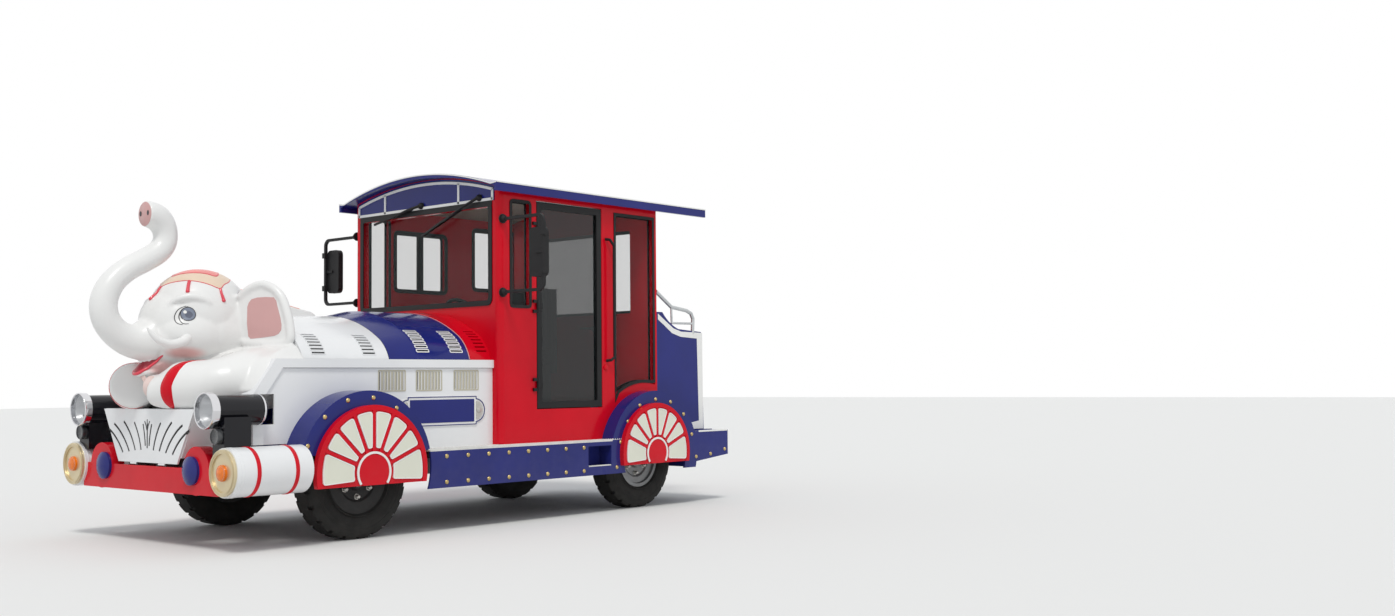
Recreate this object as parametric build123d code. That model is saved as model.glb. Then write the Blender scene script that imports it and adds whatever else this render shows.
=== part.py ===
from build123d import *
import math
import os

os.makedirs("parts", exist_ok=True)

# Sightseeing road-train locomotive with an elephant figurehead.
# Millimetres. +X forward, +Y to the left, +Z up, ground at z = 0.
# "Station" means distance forward of the front axle.

# Driving sizes: wheels and axles
WHEELBASE = 2775
TYRE_R = 390
TYRE_W = 200
RIM_R = 205
FLANGE_H = 18           # height of the rim flange beside the tyre's bead
FRONT_TRACK = 1550
REAR_TRACK = 1500
KINGPIN_Y = FRONT_TRACK / 2 - 135
KINGPIN_R = 16
HUB_R = 70
HUB_BACK = 60           # hub reaches this far inward of the disc face
NUT_CIRCLE_R = 110
LUGS = 22               # notches round each shoulder of the tread
LUG_GAP = 26
LUG_REACH = 62
LUG_DEPTH = 14

# Driving sizes: trunk bend, which is the front end of the vehicle
TRUNK_BEND_STATION = 1109
TRUNK_BEND_Z = 1560
TRUNK_BEND_R = 211
TRUNK_R = 86

# Driving sizes: rear end
PLATFORM_REAR = 960
JAW_LENGTH = 100

FRONT_OVERHANG = TRUNK_BEND_STATION + TRUNK_BEND_R + TRUNK_R
REAR_OVERHANG = PLATFORM_REAR + JAW_LENGTH
X_FRONT = (WHEELBASE + REAR_OVERHANG + FRONT_OVERHANG) / 2 - FRONT_OVERHANG
X_REAR = X_FRONT - WHEELBASE

# Driving sizes: body
SIDE_Y = 800            # outer face of the white side boxes
SHEET = 12              # thickness of body panels
LEDGE_Z = 1195
LEDGE_H = 58
LEDGE_OUT = 16
DECK_Z = 575            # top of the running boards
BOARD_T = 15
BAND_Y = 1000           # outer face of the blue skirt band
BAND_Z0 = 305
FRONT_PLANE = 1020      # station of the grille and bumper face
GRILLE_Z0 = 515
GRILLE_Z1 = 880
GRILLE_HALF0 = 372
GRILLE_HALF1 = 575

# Driving sizes: wheel arches and the half-wheel ornaments on them
FRONT_ARCH_DX = 20      # arch centre forward of its own axle
FRONT_ARCH_Z = 465
REAR_ARCH_DX = -25
REAR_ARCH_Z = 430
ARCH_R = 520
ARCH_FOOT = 305         # lower end of the rear arch
ARCH_SHEET = 12
FLANGE_T = 15
FRONT_ORNAMENT_R = 440
REAR_ORNAMENT_R = 402
ORNAMENT_Z = 450
ORNAMENT_LAP = 25       # how far the arch flange reaches in behind the ornament
ORNAMENT_DEPTH = 40
ORNAMENT_FOOT = 365
SPOKES = 9              # spoke places over the half circle; the two level ones are left open
STEER_SWEEP = 220       # room inside the front tyre for full lock
TYRE_CLEAR = 50         # room inside the rear tyre
WHEELHOUSE_FRONT_Y = (FRONT_TRACK - TYRE_W) / 2 - STEER_SWEEP
WHEELHOUSE_REAR_Y = (REAR_TRACK - TYRE_W) / 2 - TYRE_CLEAR

# Driving sizes: cab
CAB_FRONT = -1229       # station of the windscreen plane
CAB_REAR = -WHEELBASE - 185
CAB_Y = 880
CAB_WALL = 50
CAB_CORNER_R = 48       # rounded front corners
DOOR_FRONT = CAB_FRONT - 371
DOOR_REAR = DOOR_FRONT - 708
DOOR_Z0 = 825
DOOR_Z1 = 2405
DOOR_GAP = 6
ROOF_HALF = CAB_Y + 80
ROOF_LIP = 24           # thickness of the side edges
ROOF_EAVE = 60          # flat eave outside the arch
ROOF_EAVE_RISE = 8
ROOF_FRONT = CAB_FRONT + 99
ROOF_REAR = CAB_REAR - 550
ROOF_EDGE_Z = 2431
ROOF_EDGE_H = 69
ROOF_SHEET = 32
ROOF_PEAK_Z = 2636

# Driving sizes: front lamps and cylinders
CYLINDER_Y = 949
CYLINDER_Z = 498
CYLINDER_R = 152
CYLINDER_REAR = 506
CYLINDER_FRONT = 1035
HEADLAMP_Y = 805
HEADLAMP_Z = 873
HEADLAMP_R = 104
HEADLAMP_FRONT = 1088
HEADLAMP_REAR = 702
BUFFER_Y = 553
BUFFER_R = 90
BUFFER_FRONT = 1064
BUFFER_RIM = 18         # straight rim under the domed cap

# Driving sizes: bonnet vault
VAULT_CROWN_Z = 1565
VAULT_R = 1200
VAULT_HAUNCH_R = 330
VAULT_SPLIT = 32
VAULT_STEP = 45
BAND_FRONT = -349
BAND_FULL = -550
BAND_REAR = -1035
BARREL_FRONT = 345
SHOULDER_TOP = 1290      # top of the figure's shoulders where they meet the barrel

# Driving sizes: elephant's forelegs, which lie flat on the front housing
LEG_R = 150
LEG_Y = 158
LEG_Z = GRILLE_Z1 + 138
LEG_REAR = 600
LEG_FRONT = 1045
LEG_ROUND = 70

# Driving sizes: chassis
RAIL_Y = 330            # centre of each rail
RAIL_W = 60
RAIL_Z0 = 470
RAIL_Z1 = 570
RAIL_WALL = 8
BUMPER_T = 80
BEAM = 70               # front axle beam, square
STUB_R = 22
FIT = 0.05              # running fit of pins in their bores, radial
SEAT_GAP = 0.3          # clearance where turning parts face each other
STUB_REACH = 60
SPRING_T = 22
SPRING_HALF = 350
YOKE_ARM = 25
REAR_TUBE_R = 35
STEER_MAX = 25          # degrees each way


def fx(station):
    """World x of a station measured forward of the front axle."""
    return X_FRONT + station


def block(x0, x1, y0, y1, z0, z1):
    """Box between two stations, two y and two z values."""
    size = Box(x1 - x0, y1 - y0, z1 - z0)
    return Pos(fx((x0 + x1) / 2), (y0 + y1) / 2, (z0 + z1) / 2) * size


def rod_y(x, y0, y1, z, radius):
    """Round bar along Y at station x."""
    return Pos(fx(x), (y0 + y1) / 2, z) * Rot(90, 0, 0) * Cylinder(radius, abs(y1 - y0))


def rod_x(x0, x1, y, z, radius):
    """Round bar along X between two stations."""
    return Pos(fx((x0 + x1) / 2), y, z) * Rot(0, 90, 0) * Cylinder(radius, x1 - x0)


def rod_z(x, y, z0, z1, radius):
    """Round bar along Z."""
    return Pos(fx(x), y, (z0 + z1) / 2) * Cylinder(radius, z1 - z0)


def side_prism(sketch, y0, y1):
    """Sketch drawn in x (world) and z, thick from y0 to y1."""
    return extrude(Plane.XZ.offset(-y1) * sketch, y1 - y0)


def cross_prism(sketch, x0, x1):
    """Sketch drawn in y and z, long from station x0 to station x1."""
    return extrude(Plane.YZ.offset(fx(x0)) * sketch, x1 - x0)


def polygon(*points):
    """Closed straight-sided face through the points."""
    return make_face(Polyline(*points, close=True))


def both(shape):
    """The shape on the left and its mirror image on the right."""
    return [shape, mirror(shape, about=Plane.XZ)]


def turned_body(origin, tilt, edges):
    """Body of revolution about a line that starts at origin and dips forward by tilt degrees."""
    profile = make_face(edges)
    angle = math.radians(tilt)
    axis = (math.cos(angle), 0, -math.sin(angle))
    frame_plane = Plane(origin=origin, x_dir=axis, z_dir=(0, -1, 0))
    return revolve(frame_plane * profile, Axis(origin, axis))


def round_end(x_end, r, corner_r):
    """Edges of a turned profile that close it at x_end with a rounded rim."""
    rise = corner_r * math.sin(math.pi / 4)
    return [
        ThreePointArc((x_end - corner_r, r), (x_end - corner_r + rise, r - corner_r + rise), (x_end, r - corner_r)),
        Line((x_end, r - corner_r), (x_end, 0)),
    ]


def save(name, *shapes):
    """Write one node; several shapes stay separate solids."""
    solids = [s for shape in shapes for s in shape.solids()]
    whole = solids[0] if len(solids) == 1 else Compound(children=solids)
    export_step(whole, f"parts/{name}.step")


def vault_profile(step_in):
    """Three-centred arch of the bonnet down to the ledge, in y and z, moved inwards by step_in."""
    crown_r = VAULT_R - step_in
    haunch_r = VAULT_HAUNCH_R - step_in
    centre_z = VAULT_CROWN_Z - VAULT_R
    split = math.radians(VAULT_SPLIT)
    joint_y = crown_r * math.sin(split)
    joint_z = centre_z + crown_r * math.cos(split)
    haunch_y = (VAULT_R - VAULT_HAUNCH_R) * math.sin(split)
    haunch_z = centre_z + (VAULT_R - VAULT_HAUNCH_R) * math.cos(split)
    foot_angle = math.asin((LEDGE_Z - haunch_z) / haunch_r)
    foot_y = haunch_y + haunch_r * math.cos(foot_angle)
    middle = (math.pi / 2 - split + foot_angle) / 2
    mid_y = haunch_y + haunch_r * math.cos(middle)
    mid_z = haunch_z + haunch_r * math.sin(middle)
    right_crown = (-joint_y, joint_z)
    left_crown = (joint_y, joint_z)
    edges = [
        ThreePointArc(right_crown, (0, centre_z + crown_r), left_crown),
        ThreePointArc(left_crown, (mid_y, mid_z), (foot_y, LEDGE_Z)),
        Line((foot_y, LEDGE_Z), (-foot_y, LEDGE_Z)),
        ThreePointArc((-foot_y, LEDGE_Z), (-mid_y, mid_z), right_crown),
    ]
    return make_face(edges)


# Wheels
def tyre_profile():
    """Half-round sidewalls and a flat tread, in y and radius."""
    half = TYRE_W / 2
    bead = half - 25
    shoulder_r = TYRE_R - 18
    edges = [
        Line((-bead, RIM_R + SEAT_GAP), (bead, RIM_R + SEAT_GAP)),
        Line((bead, RIM_R + SEAT_GAP), (bead, RIM_R + FLANGE_H)),
        ThreePointArc((bead, RIM_R + FLANGE_H), (half, (RIM_R + TYRE_R) / 2), (half - 14, shoulder_r)),
        Line((half - 14, shoulder_r), (half - 24, TYRE_R)),
        Line((half - 24, TYRE_R), (-half + 24, TYRE_R)),
        Line((-half + 24, TYRE_R), (-half + 14, shoulder_r)),
        ThreePointArc((-half + 14, shoulder_r), (-half, (RIM_R + TYRE_R) / 2), (-bead, RIM_R + FLANGE_H)),
        Line((-bead, RIM_R + FLANGE_H), (-bead, RIM_R + SEAT_GAP)),
    ]
    return make_face(edges)


def around_axle(profile):
    """Turn a profile drawn in y (first) and radius (second) about the Y axis."""
    flat = Plane(origin=(0, 0, 0), x_dir=(0, 1, 0), z_dir=(1, 0, 0)) * profile
    return revolve(flat, Axis.Y)


def rim(dish):
    """Pressed disc wheel; dish is the y of the disc face, outward from the rim centre."""
    seat = TYRE_W / 2 - 25 + SEAT_GAP
    half = seat + 7
    points = [
        (-half, RIM_R + FLANGE_H), (-seat, RIM_R + FLANGE_H), (-seat, RIM_R), (seat, RIM_R),
        (seat, RIM_R + FLANGE_H), (half, RIM_R + FLANGE_H), (half, RIM_R - 8), (dish + 20, RIM_R - 14),
        (dish + 14, RIM_R - 60), (dish + 4, NUT_CIRCLE_R + 20), (dish + 4, HUB_R), (dish + 30, HUB_R - 8),
        (dish + 30, 0), (dish - HUB_BACK, 0), (dish - HUB_BACK, HUB_R), (dish - 12, HUB_R),
        (dish - 12, NUT_CIRCLE_R + 22), (dish, RIM_R - 56), (dish, RIM_R - 14), (-half, RIM_R - 8),
    ]
    wheel = around_axle(polygon(*points))
    for k in range(6):
        angle = math.radians(60 * k + 30)
        spot = Pos(NUT_CIRCLE_R * math.cos(angle), dish + 12, NUT_CIRCLE_R * math.sin(angle))
        wheel += spot * Rot(90, 0, 0) * extrude(RegularPolygon(14, 6), 12, both=True)
    return wheel


WHEELS = [
    # name, station, wheel centre y, disc face y outward
    ("front_left", 0, FRONT_TRACK / 2, 62),
    ("front_right", 0, -FRONT_TRACK / 2, 62),
    ("rear_left", -WHEELBASE, REAR_TRACK / 2, 40),
    ("rear_right", -WHEELBASE, -REAR_TRACK / 2, 40),
]

tyre = around_axle(tyre_profile())
for k in range(LUGS):
    for side, lag in ((1, 0), (-1, 0.5)):
        turn = 360 * (k + lag) / LUGS
        centre_y = side * (TYRE_W / 2 - LUG_REACH / 2)
        notch = Box(LUG_GAP, LUG_REACH + 1, 2 * LUG_DEPTH)
        tyre -= Rot(0, turn, 0) * Pos(0, centre_y, TYRE_R) * notch
for name, station, y, dish in WHEELS:
    disc = rim(dish)
    # bore for the stub axle, from the inner side
    disc -= Pos(0, dish - HUB_BACK + STUB_REACH / 2, 0) * Rot(90, 0, 0) * Cylinder(STUB_R + FIT, STUB_REACH)
    if y < 0:
        disc = mirror(disc, about=Plane.XZ)
    save(f"tyre_{name}", Pos(fx(station), y, TYRE_R) * tyre)
    save(f"rim_{name}", Pos(fx(station), y, TYRE_R) * disc)


# Chassis, axles and steering
def channel(x0, x1, y):
    """Rail with a C section, open towards the middle."""
    out = math.copysign(RAIL_W / 2, y)
    solid = block(x0, x1, y - RAIL_W / 2, y + RAIL_W / 2, RAIL_Z0, RAIL_Z1)
    shift = -math.copysign(RAIL_WALL, y)
    hollow = block(x0, x1, y - RAIL_W / 2 + shift, y + RAIL_W / 2 + shift, RAIL_Z0 + RAIL_WALL, RAIL_Z1 - RAIL_WALL)
    return solid - hollow


RAIL_FRONT = FRONT_PLANE - BUMPER_T
RAIL_REAR = -WHEELBASE - PLATFORM_REAR + 15
inner_y = RAIL_Y + RAIL_W / 2 - RAIL_WALL
HANGER_DROP = 24
rails = []
for side in (-1, 1):
    rail = channel(RAIL_REAR, RAIL_FRONT, side * RAIL_Y)
    for axle in (0, -WHEELBASE):
        for end in (-1, 1):
            x = axle + end * (SPRING_HALF - 20)
            rail += block(x - 20, x + 20, side * RAIL_Y - 25, side * RAIL_Y + 25, RAIL_Z0 - HANGER_DROP, RAIL_Z0 + 2)
    rails.append(rail)
save("chassis_frame", *rails)

CROSS_STATIONS = (RAIL_FRONT - 40, -150, -820, -1600, -WHEELBASE + 425, -WHEELBASE - 425, RAIL_REAR + 30)
OUTRIGGER_STATIONS = (-800, -1400, -1900)
members = []
for station in CROSS_STATIONS:
    members.append(block(station - 30, station + 30, -inner_y, inner_y, RAIL_Z0 + RAIL_WALL, RAIL_Z1 - RAIL_WALL))
for station in OUTRIGGER_STATIONS:
    arm = block(station - 25, station + 25, RAIL_Y + RAIL_W / 2, BAND_Y - FLANGE_T, RAIL_Z0 + 20, RAIL_Z0 + 60)
    members += both(arm)

beam_top = TYRE_R + BEAM / 2
spring_z = beam_top
springs = []
for axle in (0, -WHEELBASE):
    ends = RAIL_Z0 - HANGER_DROP
    outline = make_face([
        ThreePointArc((fx(axle - SPRING_HALF), ends - SPRING_T + 12), (fx(axle), spring_z),
                      (fx(axle + SPRING_HALF), ends - SPRING_T + 12)),
        Line((fx(axle + SPRING_HALF), ends - SPRING_T + 12), (fx(axle + SPRING_HALF), ends)),
        ThreePointArc((fx(axle + SPRING_HALF), ends), (fx(axle), spring_z + SPRING_T - 2),
                      (fx(axle - SPRING_HALF), ends)),
        Line((fx(axle - SPRING_HALF), ends), (fx(axle - SPRING_HALF), ends - SPRING_T + 12)),
    ])
    springs += both(side_prism(outline, RAIL_Y - 25, RAIL_Y + 25))
save("leaf_springs", *springs)

axle_beam = block(-BEAM / 2, BEAM / 2, -KINGPIN_Y, KINGPIN_Y, TYRE_R - BEAM / 2, beam_top)
for side in (-1, 1):
    axle_beam += rod_z(0, side * KINGPIN_Y, TYRE_R - BEAM / 2, beam_top, 36)
for side in (-1, 1):
    axle_beam -= rod_z(0, side * KINGPIN_Y, 0, 1000, KINGPIN_R + FIT)
save("front_axle_beam", axle_beam)

# the yoke clasps the beam's eye above and below, and carries the stub axle
hub_face = FRONT_TRACK / 2 + WHEELS[0][3] - HUB_BACK
yoke_gap = 1
knuckle = rod_z(0, KINGPIN_Y, TYRE_R - BEAM / 2 - yoke_gap - YOKE_ARM, beam_top + yoke_gap + YOKE_ARM, KINGPIN_R)
for z in (beam_top + yoke_gap, TYRE_R - BEAM / 2 - yoke_gap - YOKE_ARM):
    knuckle += rod_z(0, KINGPIN_Y, z, z + YOKE_ARM, 34)
    knuckle += block(-34, 34, KINGPIN_Y, KINGPIN_Y + 70, z, z + YOKE_ARM)
knuckle += block(-34, 34, KINGPIN_Y + 42, KINGPIN_Y + 70, TYRE_R - 61, TYRE_R + 61)
knuckle += rod_y(0, KINGPIN_Y + 60, hub_face - SEAT_GAP, TYRE_R, 50)
knuckle += rod_y(0, hub_face - SEAT_GAP, hub_face + STUB_REACH - 2, TYRE_R, STUB_R)
save("knuckle_left", knuckle)
save("knuckle_right", mirror(knuckle, about=Plane.XZ))

rear_hub_face = REAR_TRACK / 2 + WHEELS[2][3] - HUB_BACK
rear_axle = rod_y(-WHEELBASE, -rear_hub_face + SEAT_GAP, rear_hub_face - SEAT_GAP, TYRE_R, REAR_TUBE_R)
rear_axle += rod_y(-WHEELBASE, -rear_hub_face - STUB_REACH + 2, rear_hub_face + STUB_REACH - 2, TYRE_R, STUB_R)
rear_axle += Pos(fx(-WHEELBASE), 0, TYRE_R) * Sphere(125)
PINION_REACH = 190
GEARBOX_REAR = -1250
rear_axle += rod_x(-WHEELBASE, -WHEELBASE + PINION_REACH, 0, TYRE_R, 60)
for side in (-1, 1):
    rear_axle += block(-WHEELBASE - 40, -WHEELBASE + 40, side * RAIL_Y - 30, side * RAIL_Y + 30, TYRE_R, spring_z)

engine = block(-880, -120, -250, 250, RAIL_Z1, 1100)
engine += block(GEARBOX_REAR, -880, -150, 150, TYRE_R - 50, 800)
engine += block(-700, -620, -RAIL_Y - 20, RAIL_Y + 20, RAIL_Z1, RAIL_Z1 + 60)
radiator = block(900, 960, -300, 300, RAIL_Z1 + SHEET, 860)
save("engine_block", engine, radiator)
shaft = rod_x(-WHEELBASE + PINION_REACH + SEAT_GAP, GEARBOX_REAR - SEAT_GAP, 0, TYRE_R, 32)
save("rear_axle", rear_axle, shaft)


# Skirts, running boards and rear platform
STEP_X0 = -WHEELBASE + 493
STEP_X1 = STEP_X0 + 256
STEP_Z0 = 371
STEP_Z1 = 529
front_arch_disc = rod_y(FRONT_ARCH_DX, 0, 1100, FRONT_ARCH_Z, ARCH_R)
rear_arch_disc = rod_y(-WHEELBASE + REAR_ARCH_DX, 0, 1100, REAR_ARCH_Z, ARCH_R)
rear_wheel_space = rod_y(-WHEELBASE + REAR_ARCH_DX, WHEELHOUSE_REAR_Y, 1100, REAR_ARCH_Z, ARCH_R)
SKIRT_REAR = -WHEELBASE + 375
SKIRT_FRONT = -440
skirt = block(SKIRT_REAR, SKIRT_FRONT, BAND_Y - FLANGE_T, BAND_Y, BAND_Z0, DECK_Z - BOARD_T)
skirt -= block(STEP_X0, STEP_X1, BAND_Y - 100, BAND_Y + 10, STEP_Z0, STEP_Z1)
skirt += block(STEP_X0 - 10, STEP_X1 + 10, BAND_Y - 130, BAND_Y, STEP_Z0 - 20, STEP_Z0)
skirt += block(STEP_X0 - 10, STEP_X1 + 10, BAND_Y - 140, BAND_Y - 130, STEP_Z0 - 20, STEP_Z1 + 10)
skirt += block(STEP_X0 - 10, STEP_X0, BAND_Y - 130, BAND_Y - 10, STEP_Z0, STEP_Z1 + 10)
skirt += block(STEP_X1, STEP_X1 + 10, BAND_Y - 130, BAND_Y - 10, STEP_Z0, STEP_Z1 + 10)
skirt = skirt - front_arch_disc - rear_arch_disc
save("side_skirts", *both(skirt))

board = block(SKIRT_REAR, SKIRT_FRONT, SIDE_Y, BAND_Y, DECK_Z - BOARD_T, DECK_Z)
board = board - front_arch_disc - rear_arch_disc
board -= block(CAB_REAR, CAB_FRONT, SIDE_Y - 1, CAB_Y, DECK_Z - 20, DECK_Z + 20)
save("running_boards", *both(board))

PLATFORM_Z = 605
DECK_RISE = 6           # tread plate laid between the tail panels
TAIL_T = 15
platform = block(-WHEELBASE - PLATFORM_REAR, CAB_REAR, -BAND_Y, BAND_Y, RAIL_Z1, PLATFORM_Z)
rear_end = -WHEELBASE - PLATFORM_REAR
for side in (-1, 1):
    y0 = min(side * BAND_Y, side * (BAND_Y - FLANGE_T))
    panel = polygon((fx(rear_end), 395), (fx(rear_end), RAIL_Z1),
                    (fx(-WHEELBASE - 475), RAIL_Z1), (fx(-WHEELBASE - 475), 345))
    platform += side_prism(panel, y0, y0 + FLANGE_T)
platform += block(rear_end, rear_end + FLANGE_T, -BAND_Y, BAND_Y, 395, RAIL_Z1)
deck_half = CAB_Y - TAIL_T - 7
platform += block(rear_end + 40, CAB_REAR, -deck_half, deck_half, PLATFORM_Z, PLATFORM_Z + DECK_RISE)
platform -= rear_wheel_space
platform -= mirror(rear_wheel_space, about=Plane.XZ)
save("rear_platform", platform)

jaw = block(rear_end - JAW_LENGTH, rear_end, -60, 60, 430, 540)
jaw -= block(rear_end - JAW_LENGTH - 1, rear_end - 30, -70, 70, 465, 505)
jaw -= rod_z(rear_end - JAW_LENGTH + 35, 0, 400, 600, 16)
save("tow_jaw", jaw)


# Wheel arches and half-wheel ornaments
def arch(centre_x, centre_z, ornament_r, inner_y, foot_z):
    """Tunnel over a wheel with a flat flange outside and a wall inside."""
    outer = rod_y(centre_x, inner_y, BAND_Y, centre_z, ARCH_R)
    tunnel = outer - rod_y(centre_x, inner_y + ARCH_SHEET, BAND_Y - FLANGE_T, centre_z, ARCH_R - ARCH_SHEET)
    tunnel -= rod_y(centre_x, BAND_Y - 2 * FLANGE_T, BAND_Y + 1, centre_z, ornament_r - ORNAMENT_LAP)
    return tunnel - block(centre_x - 600, centre_x + 600, 0, 1200, -200, foot_z)


AXLE_SLOT = 60          # half width of the slot in the wheelhouse round the axle
cylinder_space = rod_x(CYLINDER_REAR - 1, 1200, CYLINDER_Y, CYLINDER_Z, CYLINDER_R)
front_arch = arch(FRONT_ARCH_DX, FRONT_ARCH_Z, FRONT_ORNAMENT_R, WHEELHOUSE_FRONT_Y, DECK_Z) - cylinder_space
rear_arch = arch(-WHEELBASE + REAR_ARCH_DX, REAR_ARCH_Z, REAR_ORNAMENT_R, WHEELHOUSE_REAR_Y, ARCH_FOOT)
save("front_wheel_arches", *both(front_arch))
rear_arch -= block(-WHEELBASE - AXLE_SLOT, -WHEELBASE + AXLE_SLOT, 500, 700, 0, TYRE_R + AXLE_SLOT)
save("rear_wheel_arches", *both(rear_arch))


def ornament(centre_x, radius):
    """Half of a spoked wheel in relief, on a shallow drum."""
    face = BAND_Y + ORNAMENT_DEPTH
    drum = rod_y(centre_x, BAND_Y, face, ORNAMENT_Z, radius)
    drum -= rod_y(centre_x, BAND_Y - 1, face - 14, ORNAMENT_Z, radius - 12)
    drum -= rod_y(centre_x, face - 7, face + 1, ORNAMENT_Z, radius - 35)
    hub = rod_y(centre_x, face - 14, face, ORNAMENT_Z, radius * 0.27)
    spokes = hub
    for k in range(1, SPOKES - 1):
        angle = 180 / (SPOKES - 1) * k
        bar = Pos(radius / 2, 0, 0) * Box(radius - 40, 10, 24)
        spokes += Pos(fx(centre_x), face - 5, ORNAMENT_Z) * Rot(0, -angle, 0) * bar
    whole = drum + spokes
    return whole - block(centre_x - 600, centre_x + 600, 900, 1200, 0, ORNAMENT_FOOT)


save("half_wheel_ornaments", *both(ornament(5, FRONT_ORNAMENT_R)), *both(ornament(-WHEELBASE - 5, REAR_ORNAMENT_R)))


# Front: bumper, cylinders, lamps and grille
bumper = block(FRONT_PLANE - BUMPER_T, FRONT_PLANE, -850, 850, 350, 512)
for side in (-1, 1):
    bumper += rod_x(FRONT_PLANE - BUMPER_T, FRONT_PLANE, side * 600, CYLINDER_Z, 152)
for side in (-1, 1):
    bumper -= rod_x(CYLINDER_REAR, 1200, side * CYLINDER_Y, CYLINDER_Z, CYLINDER_R)
save("front_bumper", bumper)

cylinder = rod_x(CYLINDER_REAR, CYLINDER_FRONT, CYLINDER_Y, CYLINDER_Z, CYLINDER_R)
save("bumper_cylinders", *both(cylinder))
disc = rod_x(CYLINDER_FRONT, CYLINDER_FRONT + 18, CYLINDER_Y, CYLINDER_Z, 142)
disc -= rod_x(CYLINDER_FRONT + 8, CYLINDER_FRONT + 30, CYLINDER_Y, CYLINDER_Z, 118)
save("cylinder_end_plates", *both(disc))
amber = rod_x(CYLINDER_FRONT + 8, CYLINDER_FRONT + 30, CYLINDER_Y, CYLINDER_Z, 48)

cap_top = BUFFER_FRONT - FRONT_PLANE
cap_rise = cap_top - BUFFER_RIM
cap_r = (BUFFER_R ** 2 + cap_rise ** 2) / (2 * cap_rise)
half_angle = math.asin(BUFFER_R / cap_r) / 2
cap_middle = (cap_top - cap_r + cap_r * math.cos(half_angle), cap_r * math.sin(half_angle))
buffer = turned_body((fx(FRONT_PLANE), BUFFER_Y, CYLINDER_Z), 0, [
    Line((0, 0), (0, BUFFER_R)),
    Line((0, BUFFER_R), (BUFFER_RIM, BUFFER_R)),
    ThreePointArc((BUFFER_RIM, BUFFER_R), cap_middle, (cap_top, 0)),
    Line((cap_top, 0), (0, 0)),
])
save("buffers", *both(buffer))

lamp = rod_x(HEADLAMP_REAR, HEADLAMP_FRONT - 48, HEADLAMP_Y, HEADLAMP_Z, HEADLAMP_R - 8)
lamp += block(836, 1019, 790, 920, 600, HEADLAMP_Z - 40)
lamp += rod_x(1019, 1045, 860, 716, 44)
lamp -= cylinder
save("headlamp_bodies", *both(lamp))
bezel = rod_x(HEADLAMP_FRONT - 48, HEADLAMP_FRONT, HEADLAMP_Y, HEADLAMP_Z, HEADLAMP_R + 8)
bezel -= rod_x(HEADLAMP_FRONT - 30, HEADLAMP_FRONT + 1, HEADLAMP_Y, HEADLAMP_Z, HEADLAMP_R)
save("headlamp_bezels", *both(bezel))
lens = rod_x(HEADLAMP_FRONT - 30, HEADLAMP_FRONT - 22, HEADLAMP_Y, HEADLAMP_Z, HEADLAMP_R)
save("lamp_lenses", *both(lens), *both(amber))


def grille_section(inset):
    """Trapezoid of the front housing, in y and z."""
    slope = (GRILLE_HALF1 - GRILLE_HALF0) / (GRILLE_Z1 - GRILLE_Z0)
    low = RAIL_Z1 + inset
    half_low = GRILLE_HALF0 + slope * (low - GRILLE_Z0) - inset
    half_top = GRILLE_HALF1 - inset
    top = GRILLE_Z1 - inset
    return polygon((-half_low, low), (half_low, low), (half_top, top), (-half_top, top))


FLAP_T = 12
HOUSING_REAR = 560
housing = cross_prism(grille_section(0), HOUSING_REAR, FRONT_PLANE - FLAP_T - 1)
housing -= cross_prism(grille_section(SHEET), HOUSING_REAR - 1, FRONT_PLANE)
save("front_housing", housing)

HINGE_R = 6
HINGE_Z = 524
SLOT_W = 17
GRILLE_SLOTS = [
    # top end y, z and foot y, z of each curved slot of the fan
    (512, 745, 316, 590),
    (438, 780, 232, 598),
    (308, 797, 154, 608),
    (170, 792, 78, 612),
    (56, 782, 24, 640),
]
hinge_x = FRONT_PLANE - FLAP_T / 2
flap = cross_prism(polygon((-GRILLE_HALF0, HINGE_Z + 8), (GRILLE_HALF0, HINGE_Z + 8),
                           (GRILLE_HALF1, GRILLE_Z1 - 2), (-GRILLE_HALF1, GRILLE_Z1 - 2)),
                   FRONT_PLANE - FLAP_T, FRONT_PLANE)
for y in (-180, 180):
    flap += rod_y(hinge_x, y - 40, y + 40, HINGE_Z, HINGE_R)
    flap += block(hinge_x - 4, hinge_x + 4, y - 40, y + 40, HINGE_Z, HINGE_Z + 12)
    flap -= rod_y(hinge_x, y - 41, y + 41, HINGE_Z, 3 + FIT)
for top_y, top_z, low_y, low_z in GRILLE_SLOTS:
    for side in (-1, 1):
        # each slot leaves its top end flatter than it arrives at its foot
        middle = (side * (top_y * 0.42 + low_y * 0.58), top_z * 0.56 + low_z * 0.44)
        curve = ThreePointArc((side * top_y, top_z), middle, (side * low_y, low_z))
        flap -= cross_prism(trace(curve, line_width=SLOT_W), FRONT_PLANE - 2 * FLAP_T, FRONT_PLANE + 1)
flap -= block(FRONT_PLANE - 2 * FLAP_T, FRONT_PLANE + 1, -SLOT_W / 2, SLOT_W / 2, 625, 785)
save("grille_flap", flap)
pins = []
for y in (-180, 180):
    pin = rod_y(hinge_x, y - 60, y + 60, HINGE_Z, 3)
    for end in (y - 60, y + 41):
        pin += block(hinge_x - 5, hinge_x + 5, end, end + 19, 512, HINGE_Z + 5)
    pins.append(pin)


# Bonnet sides and vault
NOSE_TOP_X = 598        # the side boxes slope down from here
NOSE_FRONT_X = 760
NOSE_FRONT_Z = 970
BORDER_W = 75
SIDE_LOUVRES = (-435, -756, -1094)
headlamp_space = rod_x(600, 1100, HEADLAMP_Y, HEADLAMP_Z, HEADLAMP_R - 8 + 0.5)
NAME_X0 = -1072
NAME_X1 = -442
side_outline = polygon(
    (fx(CAB_FRONT), DECK_Z), (fx(CAB_FRONT), LEDGE_Z), (fx(NOSE_TOP_X), LEDGE_Z),
    (fx(NOSE_FRONT_X), NOSE_FRONT_Z), (fx(NOSE_FRONT_X), 650), (fx(500), 650), (fx(500), DECK_Z))
side_box = side_prism(side_outline, SIDE_Y - SHEET, SIDE_Y)
side_box += block(CAB_FRONT, BARREL_FRONT, 700, SIDE_Y + LEDGE_OUT, LEDGE_Z - SHEET, LEDGE_Z)
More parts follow.
